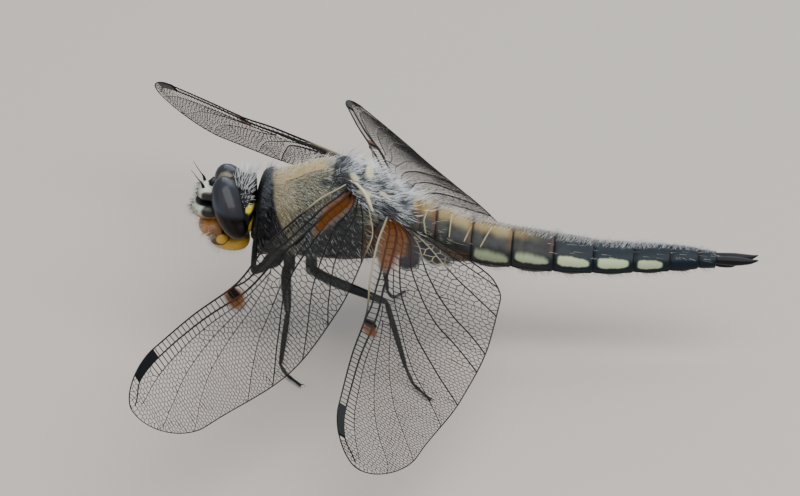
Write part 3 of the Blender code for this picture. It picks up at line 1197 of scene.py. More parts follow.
    def dress(self, posture: Posture) -> None:
        """Builds the skin, the cords and the throat, and grows the coat.

        Args:
            posture: where the body stands.
        """
        skin = self.build("thorax_skin", 200, 200)
        settle(skin, posture.body(), THORAX_CUTICLE, ("thorax", "prothorax"))
        self.build_cords(posture)
        throat = blob("throat", (0, -6.6, -3.25), (2.1, 1.1, 0.95), 2.6)
        settle(throat, posture.body(), LEG_CUTICLE)
        pile = Tress(6500, 0.85, 0.016, lean=0.45, curl=0.35, rings=3)
        coats = (
            Coat("thorax_down", Tress(26000, 0.5, 0.009, lean=0.55), self.down),
            Coat("thorax_coat", pile, self.pile, self.pile_length),
            Coat("thorax_mane", Tress(3600, 0.8, 0.018, lean=0.3, rings=3), self.mane, white=0.5),
            Coat("thorax_collar", Tress(2600, 0.85, 0.028, lean=0.25, rings=3), self.collar),
            Coat("thorax_crest", Tress(1050, 1.15, 0.034, lean=0.3, curl=0.3, rings=3), self.crest),
        )
        wear(self, coats, posture, COAT_HAIR)


# ---------------------------------------------------------------- abdomen


@dataclass(frozen=True)
class Abdomen(Skin):
    """Ten telescoped rings with side patches and keels, and the tail appendages."""

    joints: tuple = (5.42, 6.25, 7.57, 10.72, 14.2, 17.8, 21.2, 24.65, 27.75, 30.2, 31.7)
    hull: Hull = Hull(
        (5.3, 7.5, 10.5, 14.2, 17.8, 21.2, 24.65, 27.7, 30.2, 31.75),
        (2.75, 2.65, 2.6, 2.5, 2.42, 2.2, 1.88, 1.58, 1.15, 0.85),
        (2.6, 2.25, 1.9, 1.74, 1.6, 1.36, 1.25, 1.15, 0.92, 0.66),
        (-0.65, -1.05, -1.55, -1.84, -1.95, -1.94, -1.68, -1.38, -1.18, -1.07),
        power=2.0,
        inset=0.0,
        cap=0.15,
    )
    carinae: tuple = (6.35, 8.6, 11.7, 15.3)
    patches: tuple = (  # start, end, highest and lowest degrees from the top, strength
        (11.0, 13.95, 82, 105, 0.6),
        (14.5, 17.4, 74, 93, 0.75),
        (18.15, 20.85, 64, 92, 1.0),
        (21.6, 24.2, 60, 93, 1.0),
        (25.0, 27.1, 67, 100, 0.95),
    )
    streaks: tuple = (  # lines of (place along the body, degrees from the top)
        ((6.69, 22), (6.47, 48), (6.81, 78)),
        ((8.82, 8), (8.78, 35), (8.76, 64)),
        ((10.55, 24), (10.07, 64)),
        ((12.32, 12), (11.49, 69)),
    )
    furrows: tuple = (  # the same
        ((8.55, 40), (8.64, 100)),
        ((7.3, 95), (8.6, 104), (10.6, 100)),
    )
    glints: tuple = (10.72, 14.2)  # joints with a painted pale highlight in front of them
    degree: float = 0.036  # mm round the skin for one degree
    claspers: tuple = (
        (0.36, 31.4, -0.95),
        (0.36, 32.6, -0.9),
        (0.38, 33.8, -0.82),
        (0.44, 34.7, -0.7),
        (0.52, 35.25, -0.52),
    )
    lower_clasper: tuple = ((0, 31.55, -1.4), (0, 32.6, -1.42), (0, 33.5, -1.34))

    def joint_distance(self, y: Array) -> Array:
        """Signed distance to the nearest joint between rings, positive behind it."""
        offsets = y[:, None] - np.array(self.joints[1:-1])[None, :]
        return offsets[np.arange(len(y)), np.abs(offsets).argmin(1)]

    def relief(self, y: Array, arc: Array) -> Array:
        """Laps each ring over the next, with keels across, along the back and low on the sides.

        Args:
            y: places along the body.
            arc: degrees from the top.

        Returns:
            Millimetres that the skin stands out.
        """
        gap = self.joint_distance(y)
        step = np.where(gap > 0, -0.14 * np.exp(-gap / 0.28), -0.13 * np.exp(gap / 0.05))
        for place in self.carinae:
            step = step + 0.05 * np.exp(-(((y - place) / 0.07) ** 2))
        step = step + 0.07 * np.exp(-((arc / 5) ** 2)) * soft_step(7, 9, y)
        edge = np.exp(-(((arc - 118) / 4) ** 2)) * soft_step(9, 11, y) * (1 - soft_step(28, 30, y))
        under = soft_step(120, 135, arc) * soft_step(8, 10, y)
        bulge = np.abs(np.sin(math.pi * np.clip(gap, -1.7, 1.7) / 3.4))
        return step + 0.06 * edge + (0.26 * bulge - 0.24) * under

    def marks(self, rows: Array, arc: Array) -> dict[str, Array]:
        """Marks olive grey in front, blue-black behind, pale side patches and black joints, with a painted
        sheen and painted glints on top.

        Args:
            rows: points of the skin.
            arc: degrees from the top.

        Returns:
            The strength of each marking at each point.
        """
        y = rows[:, 1]
        gap = self.joint_distance(y)
        behind = soft_step(14.5, 21.0, y + 0.03 * (arc - 60))
        seam = np.exp(-((gap / 0.11) ** 2)) * soft_step(7.0, 7.6, y)
        keel = np.exp(-((arc / 3.5) ** 2)) * soft_step(9, 11, y) * (1 - behind) * 0.7
        dark = np.maximum(np.maximum(seam, keel), soft_step(108, 122, arc) * soft_step(7.5, 9.5, y))
        green = np.zeros_like(y)
        for start, end, low, high, strength in self.patches:
            inside = soft_step(start - 0.1, start + 0.15, y)
            inside = inside * (1 - soft_step(end - 0.15, end + 0.1, y))
            place = (y - (start + end) / 2) / ((end - start) / 2)
            ends = 7 * place**4
            wave = 0.8 * np.sin(y * 5.3) + 0.5 * np.sin(y * 13.1)
            fade = 4 + 9 * (start < 15)
            inside = inside * soft_step(low - fade, low + fade / 2, arc - ends - 4 * place + wave)
            inside = inside * (1 - soft_step(high - 2, high + 4, arc + ends + wave))
            green = np.maximum(green, inside * strength)
        cream = np.zeros_like(y)
        for path in self.streaks:
            cream = np.maximum(cream, self.seam(y, arc, path, 0.012, 0.055) * 0.75)
        for path in self.furrows:
            dark = np.maximum(dark, self.seam(y, arc, path, 0.02, 0.08))
        # painted highlight: a faint pale glint on top, ahead of each listed joint, laid on the cream marking
        for place in self.glints:
            top = (1 - soft_step(25, 50, arc)) * np.exp(-(((y - place + 0.9) / 0.6) ** 2))
            cream = np.maximum(cream, 0.22 * top)
        front = 1 - soft_step(6.6, 8.2, y)
        # a golden band along the top of the front rings: partly the cuticle's own tan, partly a painted sheen
        # where the top catches the light
        golden_tan_and_sheen = (1 - soft_step(12, 42, arc + 3 * np.sin(y * 5.3))) * (1 - soft_step(13, 17.5, y))
        tan = np.maximum(0.7 * front * (1 - soft_step(20, 45, arc)), 0.75 * golden_tan_and_sheen)
        upper = 1 - soft_step(40, 85, arc)
        rust = np.exp(-(((y - 7.45) / 0.12) ** 2)) * (1 - soft_step(40, 70, arc))
        bars = np.exp(-(((gap + 0.26) / 0.17) ** 2)) * (1 - behind) * upper
        rust = np.maximum(rust, 0.5 * bars)
        side = soft_step(88, 98, arc) * (1 - soft_step(10.3, 10.6, y))
        return {
            "tan": tan,
            "blue": behind,
            "green": green * (1 - seam),
            "cream": cream,
            "rust": np.maximum(rust, 0.6 * side),
            "dark": dark,
        }

    def lie(self, rows: Array) -> Array:
        """The direction that a hair leans to, by point: backward."""
        x = rows[:, 0]
        return np.column_stack((0.1 * x, 1 + 0 * x, -0.05 * np.abs(x)))

    def waist(self, rows: Array, arc: Array) -> Array:
        """Where the wool grows: on the back of the first rings."""
        return (1 - soft_step(5.7, 7.2, rows[:, 1])) * (1 - 0.9 * soft_step(35, 70, arc))

    def ridge(self, rows: Array, arc: Array) -> Array:
        """Where the fuzz grows: along the middle of the back, wider behind."""
        wide = 9 + 7 * soft_step(12, 18, rows[:, 1])
        return (1 - soft_step(wide, wide + 8, arc)) * (1 - 0.4 * soft_step(24, 30, rows[:, 1]))

    def flank(self, rows: Array, arc: Array) -> Array:
        """Where the wisps grow: high on the sides of the dark rings."""
        return soft_step(16, 19, rows[:, 1]) * (1 - soft_step(60, 75, arc)) * soft_step(15, 25, arc)

    def belly(self, rows: Array, arc: Array) -> Array:
        """Where the fringe grows: below."""
        return soft_step(110, 125, arc) * 0.8

    def side(self, rows: Array, arc: Array) -> Array:
        """Where the bristles grow: on the sides of the first rings."""
        return (1 - soft_step(7.5, 11, rows[:, 1])) * (1 - soft_step(70, 110, arc))

    def dress(self, posture: Posture) -> None:
        """Builds the rings, their coat and the tail.

        Args:
            posture: where the body stands.
        """
        nodes = tuple(f"abdomen_{number}" for number in range(1, 11))
        skin = self.build("abdomen_skin", 144, 420)
        settle(skin, posture.body(), ABDOMEN_CUTICLE, nodes, crease=70)
        wool = Tress(2100, 1.05, 0.033, lean=0.35, curl=0.35, rings=3)
        wisp = Tress(700, 0.8, 0.009, lean=0.9, curl=0.2, rings=3)
        coats = (
            Coat("abdomen_wool", wool, self.waist, white=0.6),
            Coat("abdomen_fuzz", Tress(17000, 0.6, 0.014, lean=0.18), self.ridge, white=0.6),
            Coat("abdomen_wisps", wisp, self.flank, white=0.4),
            Coat("abdomen_fringe", Tress(3000, 0.5, 0.012, lean=0.4), self.belly),
            Coat("abdomen_bristle", Tress(1500, 0.6, 0.012, lean=0.45, rings=3), self.side),
        )
        wear(self, coats, posture, COAT_HAIR)
        self.build_tail(posture)

    def build_tail(self, posture: Posture) -> None:
        """Builds the two upper claspers with pointed, slightly parted tips, and the lower one.

        Args:
            posture: where the body stands.
        """
        radii = swelling((0, 0.15, 0.45, 0.75, 1), (0.3, 0.36, 0.4, 0.29, 0.05), 22)
        for side in Side:
            name = f"cercus_{side.name.lower()}"
            clasper = tube(f"{name}_shown", through(mirrored(self.claspers, side), 22), radii, 4)
            settle(clasper, posture.body(), TAIL_CUTICLE, (name,))
        radii = swelling((0, 0.3, 0.8, 1), (0.22, 0.3, 0.24, 0.05), 14)
        lower = tube("epiproct_shown", through(self.lower_clasper, 14), radii, 4)
        settle(lower, posture.body(), TAIL_CUTICLE, ("epiproct",))


# ---------------------------------------------------------------- head


@dataclass(frozen=True)
class Plate(Skin):
    """A rounded plate of the face, with markings by place."""

    name: str
    centre: tuple
    half: tuple
    paint: Callable
    power: float = 2.5
    back: float = -10.6  # nothing of the plate lies behind this station
    slot: str = "face"
    bristles: Finish = COAT_HAIR

    def place(self, u: Array, angle: Array) -> Array:
        """Finds points of the plate, whose poles are at its left and right ends.

        Args:
            u: shares of the way from pole to pole.
            angle: angles round the plate.

        Returns:
            The points, in millimetres.
        """
        polar = u * math.pi
        ring = np.sin(polar)
        rows = np.column_stack((np.cos(polar), ring * np.cos(angle), ring * np.sin(angle)))
        size = (np.abs(rows) ** self.power).sum(1) ** (1 / self.power)
        rows = rows / size[:, None] * np.array(self.half) + np.array(self.centre)
        rows[:, 1] = np.minimum(rows[:, 1], self.back)
        return rows

    def normals(self, u: Array, angle: Array) -> Array:
        """Finds the directions that the plate faces.

        Args:
            u: shares of the way from pole to pole.
            angle: angles round the plate.

        Returns:
            One outward direction for each place.
        """
        half = np.array(self.half)
        points = self.place(u, angle) - np.array(self.centre)
        return unit(np.sign(points) * (np.abs(points) / half) ** (self.power - 1) / half)

    def marks(self, rows: Array, arc: Array) -> dict[str, Array]:
        """The plate's own markings."""
        return self.paint(rows)

    def lie(self, rows: Array) -> Array:
        """The direction that a bristle leans to, by point: forward and down."""
        x = rows[:, 0]
        return np.column_stack((0.1 * x, -0.6 + 0 * x, -0.8 + 0 * x))

    def front(self, rows: Array, arc: Array) -> Array:
        """Finds where the bristles grow: along the front of the face and under the lower lip.

        Args:
            rows: points of the plate.
            arc: degrees from the top; not used.

        Returns:
            Share of full density at each point.
        """
        y, z = rows[:, 1], rows[:, 2]
        edge = np.where(z < -1.6, -11.4, -12.7) + 0.5 * np.maximum(-1.6 - z, 0)
        return ((y < edge) | (z < -4.0)) * 1.0


def frons_paint(rows: Array) -> dict[str, Array]:
    """Marks the brow: pale top, black below and along the eyes.

    Args:
        rows: points of the plate.

    Returns:
        The strength of each marking at each point.
    """
    x, z = np.abs(rows[:, 0]), rows[:, 2]
    pale = soft_step(0.3, 0.45, z) * (1 - soft_step(1.3, 1.45, x))
    return {"pale": pale, "dark": 1 - pale}


def clypeus_paint(rows: Array) -> dict[str, Array]:
    """Marks the upper face: pale in front, black towards each eye, turning ochre below.

    Args:
        rows: points of the plate.

    Returns:
        The strength of each marking at each point.
    """
    x, y, z = np.abs(rows[:, 0]), rows[:, 1], rows[:, 2]
    dark = spot_mask(y - 0.3 * z, z, (-11.45, -0.6), (0.85, 0.6), 0.15) * soft_step(0.9, 1.2, x)
    dark = np.maximum(dark, soft_step(-0.36, -0.26, z))
    return {"pale": soft_step(-1.25, -0.85, z), "dark": dark}


def labrum_paint(rows: Array) -> dict[str, Array]:
    """Marks the upper lip: brown sides and crease, a paler top edge.

    Args:
        rows: points of the plate.

    Returns:
        The strength of each marking at each point.
    """
    x, z = np.abs(rows[:, 0]), rows[:, 2]
    crease = spot_mask(z, z, (-2.35, -2.35), (0.07, 0.07), 0.6) * 0.5
    brown = np.maximum(soft_step(1.4, 2.0, x) * 0.6, crease)
    return {"brown": brown, "pale": soft_step(-1.75, -1.5, z) * 0.3}


def mandible_paint(rows: Array) -> dict[str, Array]:
    """A yellow field in a dark frame."""
    inside = spot_mask(rows[:, 1], rows[:, 2], (-10.5, -2.98), (0.5, 0.42), 0.15)
    return {"yellow": inside, "dark": (1 - inside) * 0.45, "brown": 1 - inside}


def labium_paint(rows: Array) -> dict[str, Array]:
    """Orange yellow, with a brown crease in the middle."""
    x = rows[:, 0]
    return {"yellow": 0.8 + 0 * x, "brown": 0.3 * spot_mask(x, x, (0, 0), (0.08, 0.08), 0.5)}


@dataclass(frozen=True)
class Capsule(Skin):
    """The black back of the head, with yellow spots behind the eyes."""

    hull: Hull = Hull(
        (-10.9, -9.9, -9.3, -8.6, -8.2, -7.85),
        (1.4, 2.3, 3.1, 3.3, 3.1, 2.3),
        (2.0, 2.3, 2.45, 2.5, 2.4, 1.9),
        (-0.2, -0.2, -0.2, -0.2, -0.2, -0.2),
        power=2.25,
        inset=0.06,
        cap=0.35,
    )
    upper_spot: tuple = ((-8.33, 0.55), (0.34, 0.34))  # place and half size along and up
    lower_spot: tuple = ((-8.02, -1.4), (0.27, 0.85))

    def marks(self, rows: Array, arc: Array) -> dict[str, Array]:
        """Marks the yellow spots.

        Args:
            rows: points of the skin.
            arc: degrees from the top; not used.

        Returns:
            The strength of the marking at each point.
        """
        y, z = rows[:, 1], rows[:, 2]
        spot = spot_mask(y, z, *self.upper_spot, 0.15)
        spot = np.maximum(spot, spot_mask(y, z, *self.lower_spot, 0.15))
        return {"spot": spot * soft_step(1.5, 1.9, np.abs(rows[:, 0]))}

    def lie(self, rows: Array) -> Array:
        """The direction that a hair leans to, by point: backward and outward."""
        x, z = rows[:, 0], rows[:, 2]
        return np.column_stack((0.25 * x, 0.9 + 0 * x, 0.25 * z))

    def rear(self, rows: Array, arc: Array) -> Array:
        """Where the fringe grows: behind the eyes, down to the spots."""
        start = -9.95 + 0.014 * arc
        return soft_step(start - 0.15, start + 0.15, rows[:, 1]) * (1 - soft_step(62, 72, arc))

    def rear_length(self, rows: Array, arc: Array) -> Array:
        """Share of full length: longest at the top."""
        return 1.25 - 0.55 * soft_step(15, 55, arc)


@dataclass(frozen=True)
class Eye:
    """One compound eye: a leaning oval, flat where it meets its fellow."""

    side: Side
    centre: tuple = (1.9, -10.0, 0.02)
    half: tuple = (1.94, 1.45, 2.79)
    lean: float = math.radians(25)
    pitch: float = math.radians(26)
    seam: float = 0.1

    def build(self, posture: Posture) -> None:
        """Shapes, marks and places the eye.

        Args:
            posture: where the body stands.
        """
        sign = self.side.value
        name = f"eye_{self.side.name.lower()}"
        obj = ball(f"{name}_shown", 128, 96)
        local = coordinates(obj)
        leaned = Euler((0, -self.lean * sign, 0)).to_matrix()
        turned = np.array(Euler((self.pitch, 0, 0)).to_matrix() @ leaned)
        rows = (local * np.array(self.half)) @ turned.T
        rows += np.array((self.centre[0] * sign, self.centre[1], self.centre[2]))
        across = rows[:, 0] * sign
        rows[:, 0] = np.maximum(across, self.seam) * sign
        set_coordinates(obj, rows)
        low = 1 - soft_step(-0.25, 0.3, rows[:, 2] + 0.12 * (rows[:, 1] - self.centre[1]))
        streak = low * (0.5 + 0.5 * np.sin(local[:, 1] * 15 + 3 * local[:, 0])) ** 2
        # painted reflection: a blue-grey sheen patch towards the front of the eye
        sheen = spot_mask(local[:, 1], local[:, 2], (-0.75, -0.1), (0.45, 0.5), 0.6)
        set_mask(obj, "low", low)
        set_mask(obj, "streak", streak * 0.6)
        set_mask(obj, "sheen", sheen * 0.8)
        inner = 1 - soft_step(self.seam + 0.25, self.seam + 0.5, across)
        set_mask(obj, "rim", inner * soft_step(0.2, 0.5, local[:, 2]) * 0.8)
        set_mask(obj, "edge", 1 - soft_step(self.seam + 0.06, self.seam + 0.16, across))
        face_outward(obj)
        settle(obj, posture.body(), EYE_CORNEA, (name,))


@dataclass(frozen=True)
class Head:
    """The head: capsule, face plates, eyes, feelers and their hairs."""

    capsule: Capsule = Capsule()
    frons: Plate = Plate(
        "frons",
        (0, -11.78, 0.62),
        (1.55, 1.2, 0.6),
        frons_paint,
        3.0,
        slot="frons",
        bristles=LEG_CUTICLE,
    )
    clypeus: Plate = Plate(
        "clypeus", (0, -11.95, -0.85), (1.8, 1.45, 0.78), clypeus_paint, bristles=LEG_CUTICLE
    )
    labrum: Plate = Plate("labrum", (0, -11.08, -2.45), (1.95, 1.62, 1.0), labrum_paint, 2.2)
    labium: Plate = Plate("labium", (0, -9.85, -3.6), (1.85, 1.65, 0.78), labium_paint, 2.5, -8.0)
    feeler: tuple = ((0.75, -12.45, 1.05), (0.8, -12.65, 1.5), (0.84, -12.95, 1.86), (0.95, -13.65, 2.75))
    ocelli: tuple = ((0, -12.05, 1.45), (0.38, -11.75, 1.62), (-0.38, -11.75, 1.62))

    def dress(self, posture: Posture) -> None:
        """Builds every piece of the head.

        Args:
            posture: where the body stands.
        """
        skin = self.capsule.build("head_skin", 96, 96)
        settle(skin, posture.body(), HEAD_CUTICLE, ("head",))
        for side in Side:
            Eye(side).build(posture)
            self.build_feeler(side, posture)
            self.build_mandible(side, posture)
        plates = (self.frons, self.clypeus, self.labrum, self.labium)
        for plate in plates:
            piece = plate.build(f"{plate.name}_shown", 72, 48)
            settle(piece, posture.body(), FACE_CUTICLE, (plate.name,))
        self.build_vertex(posture)
        tress = Tress(900, 0.95, 0.034, lean=0.25, curl=0.05, spread=0.2, rings=3)
        fringe = Coat("head_fringe", tress, self.capsule.rear, self.capsule.rear_length, 0.8)
        wear(self.capsule, (fringe,), posture, COAT_HAIR)
        for plate in plates:
            bristles = Coat(f"{plate.name}_bristles", Tress(600, 0.45, 0.013, lean=0.2), plate.front)
            wear(plate, (bristles,), posture, plate.bristles)

    def build_feeler(self, side: Side, posture: Posture) -> None:
        """Builds a feeler: a bristle on two stout joints.

        Args:
            side: which side it is on.
            posture: where the body stands.
        """
        name = f"antenna_{side.name.lower()}"
        radii = swelling((0, 0.15, 0.28, 0.4, 1), (0.14, 0.13, 0.08, 0.045, 0.018), 24)
        feeler = tube(f"{name}_shown", through(mirrored(self.feeler, side), 24), radii, 2)
        settle(feeler, posture.body(), LEG_CUTICLE, (name,))

    def build_mandible(self, side: Side, posture: Posture) -> None:
        """Builds the side of a jaw, between the upper and lower lip.

        Args:
            side: which side it is on.
            posture: where the body stands.
        """
        centre = (1.15 * side.value, -10.75, -3.05)
        plate = Plate("mandible", centre, (0.9, 0.85, 0.72), mandible_paint, 2.5, -8.0)
        piece = plate.build(f"mandible_{side.name.lower()}", 48, 32)
        settle(piece, posture.body(), FACE_CUTICLE)

    def build_vertex(self, posture: Posture) -> None:
        """Builds the knob between the feelers that carries the three simple eyes.

        Args:
            posture: where the body stands.
        """
        knob = blob("vertex", (0, -11.7, 1.35), (0.5, 0.4, 0.38))
        settle(knob, posture.body(), HEAD_CUTICLE)
        for number, place in enumerate(self.ocelli):
            lens = blob(f"ocellus_{number}", place, (0.13, 0.13, 0.13), 2.0)
            settle(lens, posture.body(), EYE_CORNEA)


# ---------------------------------------------------------------- legs


@dataclass(frozen=True)
class Leg:
    """One leg by the places of its joints, in level millimetres from the thorax's middle."""

    name: str
    hip: tuple
    trochanter: tuple
    knee: tuple
    ankle: tuple
    toe: tuple  # a standing foot has no height of its own, because it lies on the floor
    foot: float = 0.24  # half thickness of the foot
    coxa: float = 1.0  # thickness of its short first joint, against the usual
    spine_places: tuple = (0.12, 0.95, 11)  # first and last share of the part, and how many
    spine_turn: float = 0.7  # angle of each row of spines from straight down
    spine_radii: tuple = (0.035, 0.024, 0.006)

    def segment(self, part: str, path: Array, radii: tuple, spine: float) -> Piece:
        """Builds a tapered tube with a double row of spines.

        Args:
            part: which part of the leg it is.
            path: its middle line.
            radii: radii at five stations from root to tip.
            spine: length of its spines.

        Returns:
            The joined mesh, in millimetres.
        """
        count = len(path)
        smooth = swelling((0, 0.06, 0.4, 0.9, 1), radii, count)
        parts = [tube(f"{self.name}_{part}", path, smooth, 3)]
        down = np.array((0.0, 0.0, -1.0))
        for place in np.linspace(*self.spine_places):
            index = int(place * (count - 1))
            along = unit(path[min(index + 1, count - 1)] - path[index - 1])
            out = unit(down - along * (down @ along) + 1e-6)
            other = np.cross(along, out)
            for turn in (-self.spine_turn, self.spine_turn):
                direction = unit(out * math.cos(turn) + other * math.sin(turn) + 0.7 * along)
                start = path[index] + direction * smooth[index] * 0.5
                points = np.array([start + direction * spine * share for share in (0, 0.5, 1)])
                parts.append(tube("spine", points, self.spine_radii, 1))
        return joined(f"{self.name}_{part}_shown", parts)

    def foot_path(self) -> Array:
        """Runs the foot from the ankle to the toe; a standing one lies on the floor.

        Returns:
            The middle line of the foot.
        """
        ankle = np.array(self.ankle, float)
        toe = np.array(self.toe, float)
        standing = len(self.toe) == 2
        if standing:
            toe = np.array((*self.toe, self.foot - THORAX_HEIGHT - 0.02))
        heel = ankle + (toe - ankle) * 0.35
        if standing:
            heel[2] = self.foot - THORAX_HEIGHT + 0.12
        return through([ankle, heel, toe], 26)

    def dress(self, posture: Posture) -> None:
        """Builds thigh, shin, foot, claws and the short first joint.

        Args:
            posture: where the body stands.
        """
        place = posture.level()
        thigh = through([self.hip, self.trochanter, self.knee], 40)
        piece = self.segment("femur", thigh, (0.4, 0.44, 0.46, 0.32, 0.2), 0.35)
        settle(piece, place, LEG_CUTICLE, (f"{self.name}_femur",))
        shin = through([self.knee, self.ankle], 30)
        piece = self.segment("tibia", shin, (0.15, 0.24, 0.26, 0.19, 0.12), 0.75)
        settle(piece, place, LEG_CUTICLE, (f"{self.name}_tibia",))
        path = self.foot_path()
        radii = swelling((0, 0.2, 0.35, 0.5, 0.65, 1), (0.12, 0.16, 0.12, 0.16, 0.12, 0.13), 26)
        piece = tube(f"{self.name}_tarsus_shown", path, radii, 3)
        settle(piece, place, LEG_CUTICLE, (f"{self.name}_tarsus",))
        self.build_claws(path, place)
        self.build_coxa(place)

    def build_coxa(self, place: Matrix) -> None:
        """Builds the short first joint, from inside the thorax to the thigh.

        Args:
            place: from leg millimetres to the row frame.
        """
        hip = np.array(self.hip)
        path = through([hip + np.array((-0.12 * hip[0], 0, 1.4)), hip, self.trochanter], 16)
        bulk = tuple(radius * self.coxa for radius in (0.4, 0.52, 0.5, 0.3))
        piece = tube(f"{self.name}_coxa", path, swelling((0, 0.3, 0.7, 1), bulk, 16), 4)
        settle(piece, place, LEG_CUTICLE)

    def build_claws(self, path: Array, place: Matrix) -> None:
        """Builds two hooked claws at the end of the foot.

        Args:
            path: the middle line of the foot.
            place: from leg millimetres to the row frame.
        """
        along = unit(path[-1] - path[-4])
        across = unit(np.cross(along, (0, 0, 1.0)))
        claws = []
        for turn in (-1, 1):
            first = path[-1] - along * 0.1
            bend = first + along * 0.3 + across * 0.16 * turn + np.array((0, 0, 0.1))
            tip = bend + along * 0.2 + across * 0.06 * turn - np.array((0, 0, 0.14))
            claws.append(tube("claw", through([first, bend, tip], 9), np.linspace(0.06, 0.012, 9), 2))
        settle(joined(f"{self.name}_claws", claws), place, LEG_CUTICLE)


LEGS = (
    Leg(
        "leg_fore_left",
        (1.35, -6.2, -3.7),
        (1.7, -7.1, -4.5),
        (2.2, -8.1, -4.95),
        (3.05, -7.75, -0.9),
        (2.75, -7.6, 0.9),
        coxa=1.5,
    ),
    Leg(
        "leg_fore_right",
        (-1.35, -6.2, -3.7),
        (-1.7, -7.1, -4.5),
        (-2.2, -8.1, -4.95),
        (-3.05, -7.75, -0.9),
        (-2.75, -7.6, 0.9),
        coxa=1.5,
    ),
    Leg(
        "leg_mid_left",
        (1.75, -5.0, -4.45),
        (2.6, -5.2, -4.7),
        (7.0, -4.8, -6.4),
        (7.5, -5.45, -11.1),
        (9.9, -3.6),
    ),
    Leg(
        "leg_hind_left",
        (1.9, -3.1, -4.65),
        (3.0, -2.7, -4.4),
        (7.5, 3.6, -5.0),
        (8.5, 5.3, -10.7),
        (12.1, 7.5),
    ),
    Leg(
        "leg_mid_right",
        (-1.75, -5.0, -4.45),
        (-2.6, -5.2, -4.7),
        (-6.6, -5.6, -6.0),
        (-7.0, -6.2, -11.1),
        (-9.3, -6.0),
    ),
    Leg(
        "leg_hind_right",
        (-1.9, -3.1, -4.65),
        (-3.0, -2.7, -4.4),
        (-6.6, 2.4, -5.0),
        (-6.6, 3.0, -10.7),
        (-8.9, 4.4),
    ),
)


# ---------------------------------------------------------------- wings


@dataclass(frozen=True)
class Vein:
    """A main vein, as fractions of the chord at shares of the wing's length."""

    name: str
    at: tuple
    fraction: tuple
    height: float  # mm above or below the middle of the wing
    radius: float  # mm at its root

    def covers(self, share: float) -> bool:
        """Whether the vein runs past this share of the length."""
        return self.at[0] <= share <= self.at[-1]

    def path(self, share: Array) -> Array:
        """Fraction of the chord at each share."""
        return cubic_through(self.at, self.fraction, share)


@dataclass(frozen=True)
class Planform:
    """The outline of a wing laid flat: X along it, Y across it from the front."""

    length: float
    front_at: tuple
    front: tuple
    rear_at: tuple
    rear: tuple
    tip_at: float
    tip_chord: float
    rounding: float = 1.8

    def edges(self, share: Array) -> tuple[Array, Array]:
        """Finds the front and rear edge, which close in a round tip.

        Args:
            share: shares of the length.

        Returns:
            How far the front and the rear edge are from the hinge line.
        """
        front = cubic_through(self.front_at, self.front, share)
        rear = cubic_through(self.rear_at, self.rear, share)
        past = np.clip((share - self.tip_at) / (1 - self.tip_at), 0, 1)
        closing = 1 - (1 - past**self.rounding) ** (1 / self.rounding)
        return front + (self.tip_chord - front) * closing, rear + (self.tip_chord - rear) * closing

    def flat(self, share: Array, fraction: Array) -> Array:
        """Flat points at shares of the length and fractions of the chord."""
        front, rear = self.edges(share)
        return np.column_stack((share * self.length, front + (rear - front) * fraction))

    def locate(self, flat: Array) -> tuple[Array, Array]:
        """Finds where flat points lie.

        Args:
            flat: the points.

        Returns:
            Share of the length and fraction of the chord of each.
        """
        share = np.clip(flat[:, 0] / self.length, 0, 1)
        front, rear = self.edges(share)
        chord = np.maximum(rear - front, 0.05)
        return share, np.clip((flat[:, 1] - front) / chord, 0, 1)


@dataclass(frozen=True)
class WingKind:
    """What the left and right wing of a pair share."""

    name: str
    plan: Planform
    veins: tuple
    nodus: float
    mark: tuple  # start and end of the dark mark near the tip
    amber: tuple  # (share, fraction, share size, fraction size) of the stains
    dark: tuple
    pale: tuple
    base_cell: float = 0.8
    tip_cell: float = 0.4

    def veins_at(self, share: float) -> list:
        """Finds every curve at one share, from front to rear.

        Args:
            share: share of the length.

        Returns:
            Fraction of the chord, height and name of each.
        """
        rows = [(0.0, 0.1, "costa"), (1.0, 0.0, "margin")]
        rows += [(float(v.path(share)), v.height, v.name) for v in self.veins if v.covers(share)]
        return sorted(rows)

    def heights(self, share: Array, fraction: Array) -> Array:
        """Pleats the wing over its high and low veins.

        Args:
            share: shares of the length.
            fraction: fractions of the chord.

        Returns:
            Millimetres above the middle plane.
        """
        result = np.zeros(len(share))
        keys = np.round(share, 3)
        for key in np.unique(keys):
            rows = self.veins_at(float(key))
            chosen = keys == key
            result[chosen] = np.interp(fraction[chosen], [r[0] for r in rows], [r[1] for r in rows])
        return result * (1 - 0.75 * share)

    def raised(self, flat: Array) -> Array:
        """Flat points lifted to the pleated surface."""
        share, fraction = self.plan.locate(flat)
        return np.column_stack((flat, self.heights(share, fraction)))

    def stain(self, table: tuple, share: Array, fraction: Array, soft: float = 0.4) -> Array:
        """Paints a set of oval stains.

        Args:
            table: their places and half sizes, in shares and fractions.
            share: shares of the length.
            fraction: fractions of the chord.
            soft: how soft their edges are.

        Returns:
            The strength at each place.
        """
        total = np.zeros(len(share))
        for stain in table:
            total = np.maximum(total, spot_mask(share, fraction, stain[:2], stain[2:], soft))
        return total


@dataclass(frozen=True)
class WingPose:
    """How one wing is set on the body."""

    side: Side
    hinge: tuple
    forward: float  # degrees that the wing is swung forward
    droop: float  # degrees that it hangs
    turn: float  # degrees of twist
    rise: float  # degrees less of twist at the root
    lift: float  # mm that the tip curves up

    def place(self, rows: Array, length: float) -> Array:
        """Sets a flat wing on the body.

        Args:
            rows: points of the flat wing.
            length: its length.

        Returns:
            The points in the body's frame, in millimetres.
        """
        share = rows[:, 0] / length
        twist = -math.radians(self.turn) + math.radians(self.rise) * (0.5 - share)
        c, s = np.cos(twist), np.sin(twist)
        local = np.column_stack((
            rows[:, 0],
            rows[:, 1] * c - rows[:, 2] * s,
            rows[:, 1] * s + rows[:, 2] * c + self.lift * share**2,
        ))
        swing = Matrix.Rotation(-math.radians(self.forward), 3, "Z")
        hang = Matrix.Rotation(math.radians(self.droop), 3, "Y")
        placed = local @ np.array(swing @ hang).T + np.array(self.hinge)
        placed[:, 0] *= self.side.value
        return placed


